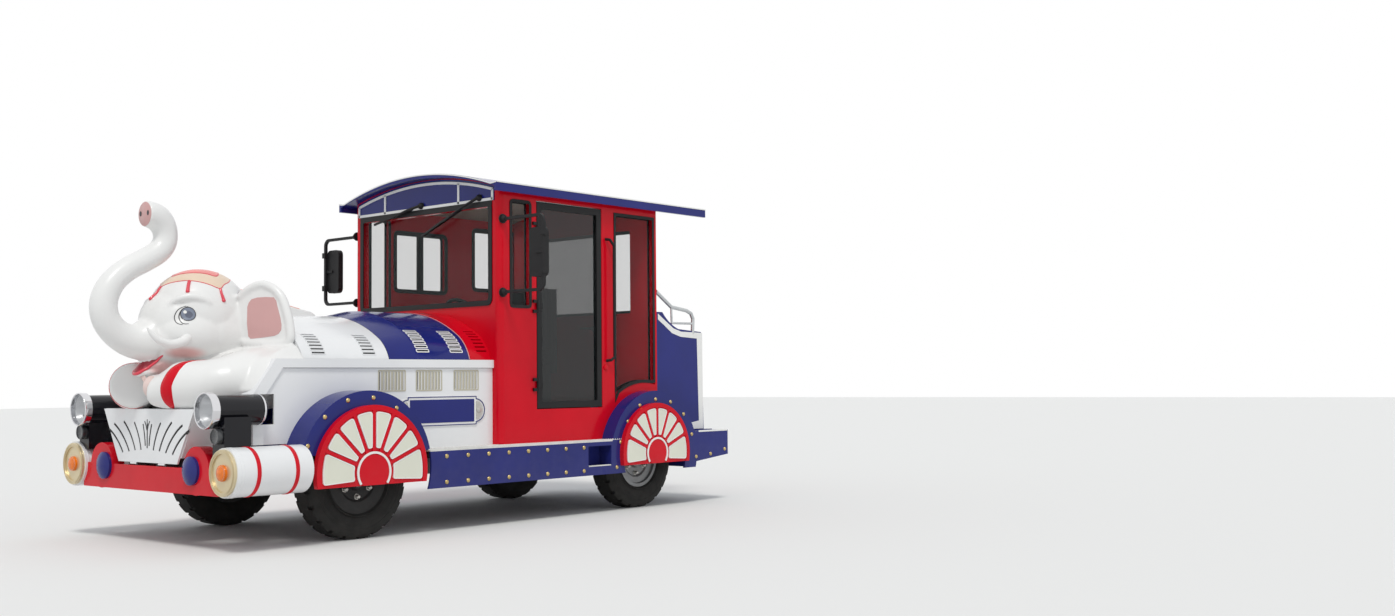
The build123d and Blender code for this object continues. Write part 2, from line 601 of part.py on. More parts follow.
side_box += block(CAB_FRONT, NOSE_TOP_X, SIDE_Y, SIDE_Y + LEDGE_OUT, LEDGE_Z - LEDGE_H, LEDGE_Z)
border = polygon(
    (fx(NOSE_TOP_X), LEDGE_Z), (fx(NOSE_FRONT_X), NOSE_FRONT_Z), (fx(NOSE_FRONT_X), 650),
    (fx(NOSE_FRONT_X - BORDER_W), 650), (fx(NOSE_FRONT_X - BORDER_W), NOSE_FRONT_Z - 25),
    (fx(NOSE_TOP_X - 52), LEDGE_Z - LEDGE_H), (fx(NOSE_TOP_X - 70), LEDGE_Z - LEDGE_H),
    (fx(NOSE_TOP_X - 70), LEDGE_Z))
side_box += side_prism(border, SIDE_Y, SIDE_Y + LEDGE_OUT)
side_box += block(NOSE_FRONT_X - SHEET, NOSE_FRONT_X, GRILLE_HALF0 + 60, SIDE_Y, 650, GRILLE_Z1)
side_box -= front_arch_disc
side_box -= cylinder_space
side_box -= cross_prism(grille_section(0), HOUSING_REAR, FRONT_PLANE)
side_box -= headlamp_space
for group in SIDE_LOUVRES:
    for k in range(8):
        x = group + 18 + 28 * k
        side_box -= block(x, x + 12, SIDE_Y - SHEET - 1, SIDE_Y + 1, 985, 1110)
save("bonnet_sides", *both(side_box))
plate = block(NAME_X0, NAME_X1, SIDE_Y, SIDE_Y + 6, 725, 935)
for x in (NAME_X0, NAME_X1):
    plate += rod_y(x, SIDE_Y, SIDE_Y + 4, 830, 90)
plate -= front_arch_disc
save("nameplates", *both(plate))

LOUVRES = [
    # piece, rear station, front station
    ("barrel", 152, 276),
    ("barrel", -255, -130),
    ("band", -681, -558),
    ("band", -988, -860),
    ("cowl", -1219, -1098),
]
SLOTS = 7
SLOT_H = 13
SLOT_STEP = 6           # degrees between slots round the haunch
SLOT_LOW = 28


def louvre_slots(piece):
    """Slots parallel to X up both haunches of the vault."""
    split = math.radians(VAULT_SPLIT)
    centre_y = (VAULT_R - VAULT_HAUNCH_R) * math.sin(split)
    centre_z = VAULT_CROWN_Z - VAULT_R + (VAULT_R - VAULT_HAUNCH_R) * math.cos(split)
    slots = []
    for owner, x0, x1 in LOUVRES:
        if owner != piece:
            continue
        for k in range(SLOTS):
            turn = SLOT_LOW + SLOT_STEP * k
            bar = Pos(0, VAULT_HAUNCH_R - 20, 0) * Box(x1 - x0 - 24, 160, SLOT_H)
            spot = Pos(fx((x0 + x1) / 2), centre_y, centre_z) * Rot(turn, 0, 0)
            slots += both(spot * bar)
    return slots


def nose_panel():
    """Front of the bonnet: a short deck, the slope between the side boxes, and a drop to the housing."""
    run = math.hypot(NOSE_FRONT_X - NOSE_TOP_X, LEDGE_Z - NOSE_FRONT_Z)
    back_x = SHEET * (LEDGE_Z - NOSE_FRONT_Z) / run
    back_z = SHEET * (NOSE_FRONT_X - NOSE_TOP_X) / run
    outline = polygon(
        (fx(BARREL_FRONT - SHEET), LEDGE_Z), (fx(NOSE_TOP_X), LEDGE_Z), (fx(NOSE_FRONT_X), NOSE_FRONT_Z),
        (fx(NOSE_FRONT_X), GRILLE_Z1), (fx(NOSE_FRONT_X - SHEET), GRILLE_Z1),
        (fx(NOSE_FRONT_X - SHEET), NOSE_FRONT_Z - back_z), (fx(NOSE_TOP_X - back_x), LEDGE_Z - SHEET),
        (fx(BARREL_FRONT - SHEET), LEDGE_Z - SHEET))
    inner = SIDE_Y - SHEET
    panel = side_prism(outline, -inner, inner)
    for y0, y1 in ((700, inner), (-inner, -700)):
        panel -= block(BARREL_FRONT - SHEET - 1, BARREL_FRONT + 1, y0, y1, LEDGE_Z - SHEET - 1, LEDGE_Z + 1)
    return panel - headlamp_space - mirror(headlamp_space, about=Plane.XZ)


solid_white = cross_prism(vault_profile(VAULT_STEP), BAND_FRONT, BARREL_FRONT)
barrel = solid_white - cross_prism(vault_profile(VAULT_STEP + SHEET), BAND_FRONT - 1, BARREL_FRONT - SHEET)
barrel = barrel + nose_panel() - louvre_slots("barrel")
for y in (-LEG_Y, LEG_Y):
    barrel -= rod_x(LEG_REAR - 1, LEG_FRONT, y, LEG_Z, LEG_R)
save("bonnet_barrel", *[s for s in barrel.solids() if s.volume > 1e6])
band = cross_prism(vault_profile(0), BAND_REAR, BAND_FULL)
band += loft([Plane.YZ.offset(fx(BAND_FULL)) * vault_profile(0),
              Plane.YZ.offset(fx(BAND_FRONT)) * vault_profile(VAULT_STEP)], ruled=True)
band -= cross_prism(vault_profile(VAULT_STEP + SHEET), BAND_REAR - 1, BAND_FRONT + 1)
band -= louvre_slots("band")
save("bonnet_band", band)
cowl = cross_prism(vault_profile(-8), CAB_FRONT, BAND_REAR)
cowl -= cross_prism(vault_profile(VAULT_STEP + SHEET), CAB_FRONT - 1, BAND_REAR + 1)
cowl -= louvre_slots("cowl")
save("bonnet_cowl", cowl)


# Elephant figurehead
def trunk():
    """S-shaped trunk: hook at the top, straight middle, wide bend, root in the face."""
    hook_x = TRUNK_BEND_STATION - 74
    hook_z = TRUNK_BEND_Z + 448
    hook_r = 140
    tip_r = 76
    gap_x = TRUNK_BEND_STATION - hook_x
    gap_z = TRUNK_BEND_Z - hook_z
    heading = math.atan2(gap_z, gap_x) + math.asin((hook_r + TRUNK_BEND_R) / math.hypot(gap_x, gap_z))

    def on(cx, cz, r, angle):
        return (fx(cx) + r * math.cos(angle), 0, cz + r * math.sin(angle))

    top = on(hook_x, hook_z, hook_r, math.pi / 2)
    left = on(hook_x, hook_z, hook_r, (math.pi / 2 + heading - math.pi / 2 + 2 * math.pi) / 2)
    leave = on(hook_x, hook_z, hook_r, heading - math.pi / 2)
    arrive = on(TRUNK_BEND_STATION, TRUNK_BEND_Z, TRUNK_BEND_R, heading + math.pi / 2)
    front = (fx(TRUNK_BEND_STATION) + TRUNK_BEND_R, 0, TRUNK_BEND_Z)
    low_angle = math.radians(-50)
    low = on(TRUNK_BEND_STATION, TRUNK_BEND_Z, TRUNK_BEND_R, low_angle)
    low_dir = (math.sin(low_angle), 0, -math.cos(low_angle))
    line_dir = (math.cos(heading), 0, math.sin(heading))
    piece = sweep(Plane(origin=top, z_dir=(-1, 0, 0)) * Circle(tip_r), ThreePointArc(top, left, leave))
    piece += Pos(top[0] + 12, 0, top[2]) * Rot(0, 90, 0) * Cylinder(tip_r + 7, 24)
    piece += loft([Plane(origin=leave, z_dir=line_dir) * Circle(tip_r), Plane(origin=arrive, z_dir=line_dir) * Circle(TRUNK_R)])
    piece += sweep(Plane(origin=arrive, z_dir=line_dir) * Circle(TRUNK_R), ThreePointArc(arrive, front, low))
    root = (low[0] + 240 * low_dir[0], 0, low[2] + 240 * low_dir[2])
    piece += loft([Plane(origin=low, z_dir=low_dir) * Circle(TRUNK_R), Plane(origin=root, z_dir=low_dir) * Circle(140)])
    return piece


head = turned_body((fx(380), 0, 1560), 17, [
    ThreePointArc((0, 170), (260, 300), (560, 205)),
    ThreePointArc((560, 205), (680, 170), (760, 90)),
    Line((760, 90), (760, 0)),
    Line((760, 0), (0, 0)),
    Line((0, 0), (0, 170)),
])
jaw_part = turned_body((fx(640), 0, 1290), 22, [
    ThreePointArc((0, 90), (200, 120), (420, 78)),
    *round_end(470, 78, 50),
    Line((470, 0), (0, 0)),
    Line((0, 0), (0, 90)),
])
neck = loft([Plane.YZ.offset(fx(-435)) * Pos(0, 1407) * Circle(110), Plane.YZ.offset(fx(430)) * Pos(0, 1450) * Circle(225)])
shoulder = side_prism(polygon(
    (fx(BARREL_FRONT), LEDGE_Z), (fx(BARREL_FRONT), SHOULDER_TOP), (fx(NOSE_TOP_X - 10), LEDGE_Z + 12),
    (fx(NOSE_TOP_X - 10), LEDGE_Z)), -SIDE_Y, SIDE_Y)
shoulder = shoulder & cross_prism(vault_profile(VAULT_STEP), BARREL_FRONT, NOSE_TOP_X)
head = head + trunk() + jaw_part + neck + shoulder
leg = rod_x(LEG_REAR, 950, LEG_Y, LEG_Z, LEG_R)
leg += turned_body((fx(950), LEG_Y, LEG_Z), 0, [
    Line((0, 0), (0, LEG_R)),
    Line((0, LEG_R), (LEG_FRONT - 950 - LEG_ROUND, LEG_R)),
    *round_end(LEG_FRONT - 950, LEG_R, LEG_ROUND),
    Line((LEG_FRONT - 950, 0), (0, 0)),
])
leg -= block(0, 1200, -300, 600, 0, GRILLE_Z1)
under_nose = side_prism(polygon(
    (fx(BARREL_FRONT), GRILLE_Z1), (fx(BARREL_FRONT), LEDGE_Z), (fx(NOSE_TOP_X), LEDGE_Z),
    (fx(NOSE_FRONT_X), NOSE_FRONT_Z), (fx(NOSE_FRONT_X), GRILLE_Z1)), -SIDE_Y, SIDE_Y)
head = head - solid_white - under_nose - leg - mirror(leg, about=Plane.XZ)
head -= cross_prism(vault_profile(0), BAND_REAR, BAND_FRONT)
save("elephant_head", *[s for s in head.solids() if s.volume > 1e6])
save("elephant_forelegs", *both(leg))

EAR_ROOT = (513, 280, 1470)     # station, y and z where the ear leaves the head
EAR_TURN = -68.6                # degrees; the ears spread to the sides
ear_face = make_face([
    Line((60, -150), (60, 140)), ThreePointArc((60, 140), (-165, 238), (-354, 139)),
    ThreePointArc((-354, 139), (-402, -10), (-408, -149)), ThreePointArc((-408, -149), (-180, -176), (60, -150))])
ear = extrude(Plane.XZ * ear_face, 20, both=True)
ear = Pos(fx(EAR_ROOT[0]), EAR_ROOT[1], EAR_ROOT[2]) * Rot(0, 0, EAR_TURN) * ear
ear = max((ear - head - solid_white).solids(), key=lambda s: s.volume)
save("elephant_ears", *both(ear))

tusk_path = ThreePointArc((fx(860), 235, 1340), (fx(1040), 262, 1310), (fx(1165), 256, 1372))
tusk = sweep(Plane(origin=tusk_path @ 0, z_dir=tusk_path % 0) * Circle(30), tusk_path)
tusk += Pos(tusk_path @ 1) * Sphere(30)
tusk = max((tusk - head).solids(), key=lambda s: s.volume)
save("elephant_tusks", *both(tusk))


# Cab
roof_top = ROOF_EDGE_Z + ROOF_EDGE_H
spring_y = ROOF_HALF - ROOF_EAVE
spring_top = roof_top - ROOF_EAVE_RISE
in_y = ROOF_HALF - ROOF_LIP
in_z = roof_top - ROOF_SHEET
roof_inner = make_face([
    Line((-in_y, 500), (-in_y, in_z)),
    ThreePointArc((-in_y, in_z), (0, ROOF_PEAK_Z - ROOF_SHEET), (in_y, in_z)),
    Line((in_y, in_z), (in_y, 500)),
    Line((in_y, 500), (-in_y, 500)),
])
roof_outer = make_face([
    Line((-ROOF_HALF, ROOF_EDGE_Z), (-ROOF_HALF, roof_top)),
    Line((-ROOF_HALF, roof_top), (-spring_y, spring_top)),
    ThreePointArc((-spring_y, spring_top), (0, ROOF_PEAK_Z), (spring_y, spring_top)),
    Line((spring_y, spring_top), (ROOF_HALF, roof_top)),
    Line((ROOF_HALF, roof_top), (ROOF_HALF, ROOF_EDGE_Z)),
    Line((ROOF_HALF, ROOF_EDGE_Z), (-ROOF_HALF, ROOF_EDGE_Z)),
])
under_roof = cross_prism(roof_inner, ROOF_REAR - 10, ROOF_FRONT + 10)
save("cab_roof", cross_prism(roof_outer, ROOF_REAR, ROOF_FRONT) - under_roof)

FRONT_WALL = 40
cab_inner_y = CAB_Y - CAB_WALL
WINDSCREEN_HALF = 800
WINDSCREEN_Z0 = 1630
WINDSCREEN_Z1 = 2335
wall_rear_x = CAB_FRONT - FRONT_WALL
front_wall = block(wall_rear_x, CAB_FRONT, -cab_inner_y, cab_inner_y, DECK_Z, 2700) & under_roof
front_wall -= block(wall_rear_x - 1, CAB_FRONT + 1, -WINDSCREEN_HALF, WINDSCREEN_HALF, WINDSCREEN_Z0, WINDSCREEN_Z1)
front_wall -= block(wall_rear_x - 1, CAB_FRONT + 1, -260, 260, DECK_Z - 1, 1120)
save("cab_front_wall", front_wall)

REAR_WALL = 40
REAR_WINDOW = (-620, 620, 1600, 2300)
rear_wall = block(CAB_REAR, CAB_REAR + REAR_WALL, -cab_inner_y, cab_inner_y, PLATFORM_Z, 2700) & under_roof
rear_wall -= block(CAB_REAR - 1, CAB_REAR + REAR_WALL + 1, *REAR_WINDOW)
rear_wall = rear_wall - rear_wheel_space - mirror(rear_wheel_space, about=Plane.XZ)
save("cab_rear_wall", rear_wall)

LEFT_WINDOWS = [
    # rear station, front station, lower z, upper z
    (CAB_FRONT - 314, CAB_FRONT - 106, 1588, 2390),
    (CAB_REAR + 28, CAB_REAR + 510, 940, 2385),
]
RIGHT_WINDOWS = [
    (CAB_FRONT - 314, CAB_FRONT - 106, 1588, 2390),
    (CAB_FRONT - 911, CAB_FRONT - 361, 1800, 2300),
    (CAB_REAR + 28, CAB_REAR + 520, 1845, 2385),
]
WINDOW_ARCH_R = 585     # the rear left window ends above the wheel arch


window_arch = rod_y(-WHEELBASE + REAR_ARCH_DX, 0, 1100, REAR_ARCH_Z, WINDOW_ARCH_R)


def side_wall(windows, door):
    """Left wall with its windows; the right wall is built on the left and mirrored."""
    corner_x = CAB_FRONT - CAB_CORNER_R
    corner_y = CAB_Y - CAB_CORNER_R
    half_way = CAB_CORNER_R * math.sin(math.pi / 4)
    plan = make_face([
        Line((fx(CAB_REAR), cab_inner_y), (fx(CAB_REAR), CAB_Y)),
        Line((fx(CAB_REAR), CAB_Y), (fx(corner_x), CAB_Y)),
        ThreePointArc((fx(corner_x), CAB_Y), (fx(corner_x + half_way), corner_y + half_way), (fx(CAB_FRONT), corner_y)),
        Line((fx(CAB_FRONT), corner_y), (fx(CAB_FRONT), cab_inner_y)),
        Line((fx(CAB_FRONT), cab_inner_y), (fx(CAB_REAR), cab_inner_y)),
    ])
    wall = extrude(Pos(0, 0, DECK_Z) * plan, 2700 - DECK_Z) & under_roof
    for x0, x1, z0, z1 in windows:
        opening = block(x0, x1, cab_inner_y - 1, CAB_Y + 1, z0, z1)
        wall -= opening - window_arch
    if door:
        wall -= block(DOOR_REAR, DOOR_FRONT, cab_inner_y - 1, CAB_Y + 1, DOOR_Z0, DOOR_Z1)
    return wall - rear_arch_disc


cab_left = side_wall(LEFT_WINDOWS, True)
save("cab_left_wall", cab_left)
save("cab_right_wall", mirror(side_wall(RIGHT_WINDOWS, False), about=Plane.XZ))

GLASS_T = 6
glass_y = CAB_Y - CAB_WALL / 2
panes = [
    block(CAB_FRONT - 20, CAB_FRONT - 20 + GLASS_T, -WINDSCREEN_HALF, WINDSCREEN_HALF, WINDSCREEN_Z0, WINDSCREEN_Z1),
    block(CAB_REAR + 15, CAB_REAR + 15 + GLASS_T, *REAR_WINDOW),
]
for x0, x1, z0, z1 in LEFT_WINDOWS:
    panes.append(block(x0, x1, glass_y, glass_y + GLASS_T, z0, z1))
for x0, x1, z0, z1 in RIGHT_WINDOWS:
    panes.append(block(x0, x1, -glass_y - GLASS_T, -glass_y, z0, z1))
panes = [max((p - window_arch).solids(), key=lambda s: s.volume) for p in panes]
save("cab_glass", *panes)

# door, hung on its front edge; the hinge line lies just outside the wall
DOOR_T = 40
DOOR_FRAME = 50
HINGE_OUT = 12
door_y0 = CAB_Y - DOOR_T
door_x0 = DOOR_REAR + DOOR_GAP
door_x1 = DOOR_FRONT - DOOR_GAP
door_z0 = DOOR_Z0 + DOOR_GAP
door_z1 = DOOR_Z1 - DOOR_GAP
door_hinge_x = DOOR_FRONT - DOOR_GAP / 2
door_hinge_y = CAB_Y + HINGE_OUT
DOOR_PIN_R = 6
HINGE_ZS = [1010, 1600, 2190]
door = block(door_x0, door_x1, door_y0, CAB_Y, door_z0, door_z1)
door -= block(door_x0 + DOOR_FRAME, door_x1 - DOOR_FRAME, door_y0 - 1, CAB_Y + 1, door_z0 + DOOR_FRAME, door_z1 - DOOR_FRAME)
hinges = []
for z in HINGE_ZS:
    door += rod_z(door_hinge_x, door_hinge_y, z - 25, z + 25, 11)
    door += block(door_hinge_x - 45, door_hinge_x, CAB_Y, door_hinge_y + 4, z - 25, z + 25)
    door -= rod_z(door_hinge_x, door_hinge_y, z - 30, z + 30, DOOR_PIN_R + FIT)
    hinge = rod_z(door_hinge_x, door_hinge_y, z - 50, z + 50, DOOR_PIN_R)
    for low in (z - 50, z + 26):
        hinge += rod_z(door_hinge_x, door_hinge_y, low, low + 24, 11)
        hinge += block(door_hinge_x, door_hinge_x + 45, CAB_Y, door_hinge_y + 4, low, low + 24)
    hinges.append(hinge)
save("cab_door", door)
save("door_glass", block(door_x0 + DOOR_FRAME, door_x1 - DOOR_FRAME, CAB_Y - 24, CAB_Y - 24 + GLASS_T,
                         door_z0 + DOOR_FRAME, door_z1 - DOOR_FRAME))

FLOOR_Z = 800
FLOOR_T = 25
floor = block(CAB_REAR + REAR_WALL, wall_rear_x, -cab_inner_y, cab_inner_y, FLOOR_Z - FLOOR_T, FLOOR_Z)
bearer = block(CAB_REAR + REAR_WALL, wall_rear_x, RAIL_Y - RAIL_W / 2, RAIL_Y + RAIL_W / 2, RAIL_Z1, FLOOR_Z - FLOOR_T)
save("frame_crossmembers", *members, *both(bearer))
floor = floor - rear_wheel_space - mirror(rear_wheel_space, about=Plane.XZ)
save("cab_floor", floor)

dash_face = polygon((fx(wall_rear_x), 1200), (fx(wall_rear_x), 1600), (fx(wall_rear_x - 130), 1590),
                    (fx(wall_rear_x - 260), 1480), (fx(wall_rear_x - 240), 1200))
dashboard = side_prism(dash_face, -cab_inner_y, cab_inner_y)
save("dashboard", dashboard)

SEAT_X = -2150
WHEEL_X = -1660
column_start = Vector(fx(wall_rear_x - 200), 0, 1380)
column_end = Vector(fx(WHEEL_X), 0, 1530)
column_line = Line(column_start, column_end)
steering = sweep(Plane(origin=column_start, z_dir=column_end - column_start) * Circle(25), column_line)
wheel_plane = Plane(origin=column_end, z_dir=column_end - column_start)
steering += wheel_plane * Torus(200, 15)
steering += wheel_plane * Cylinder(50, 30)
for k in range(3):
    steering += wheel_plane * Rot(0, 0, 120 * k) * Pos(100, 0, 0) * Box(200, 24, 12)
steering -= dashboard
save("steering_wheel", max(steering.solids(), key=lambda s: s.volume))

seat = block(SEAT_X - 230, SEAT_X + 230, -220, 220, FLOOR_Z, 1180)
seat += block(SEAT_X - 290, SEAT_X - 230, -230, 230, 1100, 1800)
save("seat_frame", seat)
save("seat_cushion", block(SEAT_X - 228, SEAT_X + 250, -240, 240, 1180.3, 1270))
save("seat_back_cushion", block(SEAT_X - 229.7, SEAT_X - 140, -240, 240, 1270.6, 1830))


# Mirrors, rails and tail panels
mirror_x = -1255
tube = 11
MIRROR_Y = 1335         # half width over the mirror frames
MIRROR_BEND = 50
MIRROR_T = 45
reach = MIRROR_Y - tube
root_y = CAB_Y - CAB_WALL / 2      # the arms run on into the rounded corner and are cut back to it
arm = block(mirror_x - tube, mirror_x + tube, root_y, reach - MIRROR_BEND, 2235 - tube, 2235 + tube)
arm += block(mirror_x - tube, mirror_x + tube, root_y, reach - MIRROR_BEND, 1695 - tube, 1695 + tube)
arm += block(mirror_x - tube, mirror_x + tube, reach - tube, reach + tube, 1695 + MIRROR_BEND, 2235 - MIRROR_BEND)
for z, low, high in ((2235 - MIRROR_BEND, 0, 1), (1695 + MIRROR_BEND, -1, 0)):
    ring = rod_x(mirror_x - tube, mirror_x + tube, reach - MIRROR_BEND, z, MIRROR_BEND + tube)
    ring -= rod_x(mirror_x - tube - 1, mirror_x + tube + 1, reach - MIRROR_BEND, z, MIRROR_BEND - tube)
    keep = block(mirror_x - 50, mirror_x + 50, reach - MIRROR_BEND, MIRROR_Y + 1, z + 200 * low, z + 200 * high)
    arm += ring & keep
plate_face = Plane.YZ.offset(fx(mirror_x - tube - MIRROR_T)) * Pos(1240, 1970) * RectangleRounded(160, 360, 42)
head_plate = extrude(plate_face, MIRROR_T)
arm += block(mirror_x - tube, mirror_x, 1240, reach, 1960, 1980)
save("mirrors", *both(arm + head_plate - cab_left))

tail_face = make_face([
    Line((fx(CAB_REAR), PLATFORM_Z), (fx(CAB_REAR), 1604)),
    Line((fx(CAB_REAR), 1604), (fx(CAB_REAR - 72), 1604)),
    ThreePointArc((fx(CAB_REAR - 72), 1604), (fx(CAB_REAR - 166), 1519), (fx(CAB_REAR - 276), 1466)),
    Line((fx(CAB_REAR - 276), 1466), (fx(CAB_REAR - 572), 1447)),
    Line((fx(CAB_REAR - 572), 1447), (fx(CAB_REAR - 597), PLATFORM_Z)),
    Line((fx(CAB_REAR - 597), PLATFORM_Z), (fx(CAB_REAR), PLATFORM_Z)),
])
tail = side_prism(tail_face, CAB_Y - TAIL_T, CAB_Y) - rear_arch_disc
save("tail_panels", *both(tail))


def tube_path(radius, *points):
    """Round tube along straight runs with ball corners, through (station, y, z) points."""
    at = [Vector(fx(x), y, z) for x, y, z in points]
    pipe = None
    for start, end in zip(at, at[1:]):
        run = sweep(Plane(origin=start, z_dir=end - start) * Circle(radius), Line(start, end))
        pipe = run if pipe is None else pipe + run
    for corner in at[1:-1]:
        pipe += Pos(corner) * Sphere(radius)
    return pipe


RAIL_R = 16
rail_y = CAB_Y - TAIL_T / 2
grab = tube_path(
    RAIL_R,
    (CAB_REAR, rail_y, 1775), (CAB_REAR - 195, rail_y, 1650), (CAB_REAR - 390, rail_y, 1626),
    (CAB_REAR - 448, rail_y, 1604), (CAB_REAR - 474, rail_y, 1560), (CAB_REAR - 467, rail_y, 1440))
grab += tube_path(
    RAIL_R * 0.6,
    (CAB_REAR - 194, rail_y, 1650), (CAB_REAR - 199, rail_y, 1515), (CAB_REAR - 470, rail_y, 1517))
grab = grab - tail - block(CAB_REAR, CAB_REAR + 100, 700, 1000, 1500, 1900)
save("grab_rails", *both(max(grab.solids(), key=lambda s: s.volume)))

handle = tube_path(
    11,
    (DOOR_REAR - 45, CAB_Y, 2165), (DOOR_REAR - 60, CAB_Y + 36, 2160), (DOOR_REAR - 92, CAB_Y + 50, 2113),
    (DOOR_REAR - 92, CAB_Y + 50, 1222), (DOOR_REAR - 66, CAB_Y + 36, 1198), (DOOR_REAR - 50, CAB_Y, 1194))
save("hinges", *hinges, *pins, handle - cab_left)
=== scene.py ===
# %% [markdown]
# # A sightseeing road-train locomotive with an elephant figurehead
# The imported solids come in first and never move: they are the frame that every painted, cast or
# sewn piece is fitted to. All lengths are metres, +X is forward, +Y is the left side and the
# ground is z = 0. Sizes of the vehicle are easier to read in millimetres forward of the front
# axle ("stations"), so one small helper turns them into places.

# %% Load the frame
import bmesh
import bpy
import math
from mathutils import Matrix, Vector
from mathutils.bvhtree import BVHTree


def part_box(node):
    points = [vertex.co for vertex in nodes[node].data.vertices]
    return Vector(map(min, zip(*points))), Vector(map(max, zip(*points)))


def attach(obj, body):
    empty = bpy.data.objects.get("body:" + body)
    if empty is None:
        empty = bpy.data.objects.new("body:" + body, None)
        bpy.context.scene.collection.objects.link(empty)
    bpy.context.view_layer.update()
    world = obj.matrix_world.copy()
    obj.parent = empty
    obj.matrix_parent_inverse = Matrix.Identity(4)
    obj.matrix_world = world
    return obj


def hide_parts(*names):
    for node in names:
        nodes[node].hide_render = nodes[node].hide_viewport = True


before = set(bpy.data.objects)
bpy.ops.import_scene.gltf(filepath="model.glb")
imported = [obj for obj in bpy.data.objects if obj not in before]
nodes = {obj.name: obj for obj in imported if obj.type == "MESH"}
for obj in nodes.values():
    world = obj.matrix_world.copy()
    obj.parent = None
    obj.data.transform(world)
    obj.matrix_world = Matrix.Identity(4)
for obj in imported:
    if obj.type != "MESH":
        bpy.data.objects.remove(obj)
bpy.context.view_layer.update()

scene = bpy.context.scene
scene.view_settings.view_transform = "Standard"
AXLE_X = sum(v.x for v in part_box("tyre_front_left")) / 2
print("front axle at x", round(AXLE_X, 4), "nodes", len(nodes))


def at(station, y, z):
    """Place of a point given in mm: forward of the front axle, to the left, above ground."""
    return Vector((AXLE_X + station / 1000, y / 1000, z / 1000))


# %% [markdown]
# ## Camera
# The view is the one a visitor has, standing 8.5 m to the left and well ahead of the cab, with
# the eye at 1.03 m. The place, the turn and the lens were worked out from the wheels, the rivet
# rows and the roof edges, so the render and the real thing can be laid over each other.

# %% Camera
camera_data = bpy.data.cameras.new("visitor_eye")
camera = bpy.data.objects.new("visitor_eye", camera_data)
scene.collection.objects.link(camera)
camera.location = (6.7665, 8.4951, 1.0261)
yaw, pitch, roll = math.radians(220.109), math.radians(2.741), math.radians(-0.562)
ahead = Vector((math.cos(yaw) * math.cos(pitch), math.sin(yaw) * math.cos(pitch), math.sin(pitch)))
right = ahead.cross(Vector((0, 0, 1))).normalized()
up = right.cross(ahead)
right_rolled = math.cos(roll) * right + math.sin(roll) * up
up_rolled = -math.sin(roll) * right + math.cos(roll) * up
turn = Matrix((right_rolled, up_rolled, -ahead)).transposed()
camera.rotation_mode = "QUATERNION"
camera.rotation_quaternion = turn.to_quaternion()
camera_data.sensor_width = 36
camera_data.lens = 36 * 1374.19 / 1395
camera_data.shift_y = (315.11 - 308) / 1395
camera_data.clip_start = 0.1
camera_data.clip_end = 200
scene.camera = camera
print("lens", round(camera_data.lens, 2), "mm")

# %% [markdown]
# ## Daylight without a sky
# Gloss paint shows its surroundings, so a large even white dome does most of the work and one
# soft sun gives the floor its shadow. Rays that look straight at the dome, or see it in paint or
# through glass, meet plain white, and the light that falls on the paint is a little dimmer.

# %% World, sun and floor
world = bpy.data.worlds.new("white_dome")
scene.world = world
world.use_nodes = True
dome = world.node_tree.nodes
dome_links = world.node_tree.links
dome.clear()
light_path = dome.new("ShaderNodeLightPath")
seen = dome.new("ShaderNodeMath")
seen.operation = "MAXIMUM"
seen_too = dome.new("ShaderNodeMath")
seen_too.operation = "MAXIMUM"
lit = dome.new("ShaderNodeBackground")
lit.inputs["Color"].default_value = (0.93, 0.96, 1.0, 1)
lit.inputs["Strength"].default_value = 0.66
plain = dome.new("ShaderNodeBackground")
plain.inputs["Color"].default_value = (1, 1, 1, 1)
plain.inputs["Strength"].default_value = 1.0
choose = dome.new("ShaderNodeMixShader")
sky_out = dome.new("ShaderNodeOutputWorld")
dome_links.new(light_path.outputs["Is Camera Ray"], seen.inputs[0])
dome_links.new(light_path.outputs["Is Glossy Ray"], seen.inputs[1])
dome_links.new(seen.outputs[0], seen_too.inputs[0])
dome_links.new(light_path.outputs["Is Transmission Ray"], seen_too.inputs[1])
dome_links.new(seen_too.outputs[0], choose.inputs[0])
dome_links.new(lit.outputs[0], choose.inputs[1])
dome_links.new(plain.outputs[0], choose.inputs[2])
dome_links.new(choose.outputs[0], sky_out.inputs["Surface"])

sun_data = bpy.data.lights.new("soft_sun", "SUN")
sun_data.energy = 1.5
sun_data.angle = math.radians(14)
sun_data.color = (1.0, 0.98, 0.94)
sun = bpy.data.objects.new("soft_sun", sun_data)
scene.collection.objects.link(sun)
sun.rotation_euler = Vector((0.42, 0.48, 1.0)).to_track_quat("Z", "Y").to_euler()

floor_mesh = bpy.data.meshes.new("floor")
floor_mesh.from_pydata([(-60, -60, 0), (60, -60, 0), (60, 60, 0), (-60, 60, 0)], [], [(0, 1, 2, 3)])
floor = bpy.data.objects.new("floor", floor_mesh)
scene.collection.objects.link(floor)
floor_finish = bpy.data.materials.new("pale_floor")
floor_finish.use_nodes = True
shine = floor_finish.node_tree.nodes["Principled BSDF"]
shine.inputs["Base Color"].default_value = (0.80, 0.80, 0.79, 1)
shine.inputs["Roughness"].default_value = 0.85
shine.inputs["Specular IOR Level"].default_value = 0.1
floor_mesh.materials.append(floor_finish)
print("dome, sun and floor ready")

# %% [markdown]
# ## Finishes
# One recipe makes most of the paints: a Principled shader whose colour drifts a few percent over
# the panel, whose roughness drifts with it, and a very small bump for the orange peel of sprayed
# paint or the grain of moulded plastic. Numbers that are the same all over sit on the shader's
# own sockets. Road dust gathers low down, so the recipe can also fade to a dusty tone with height.

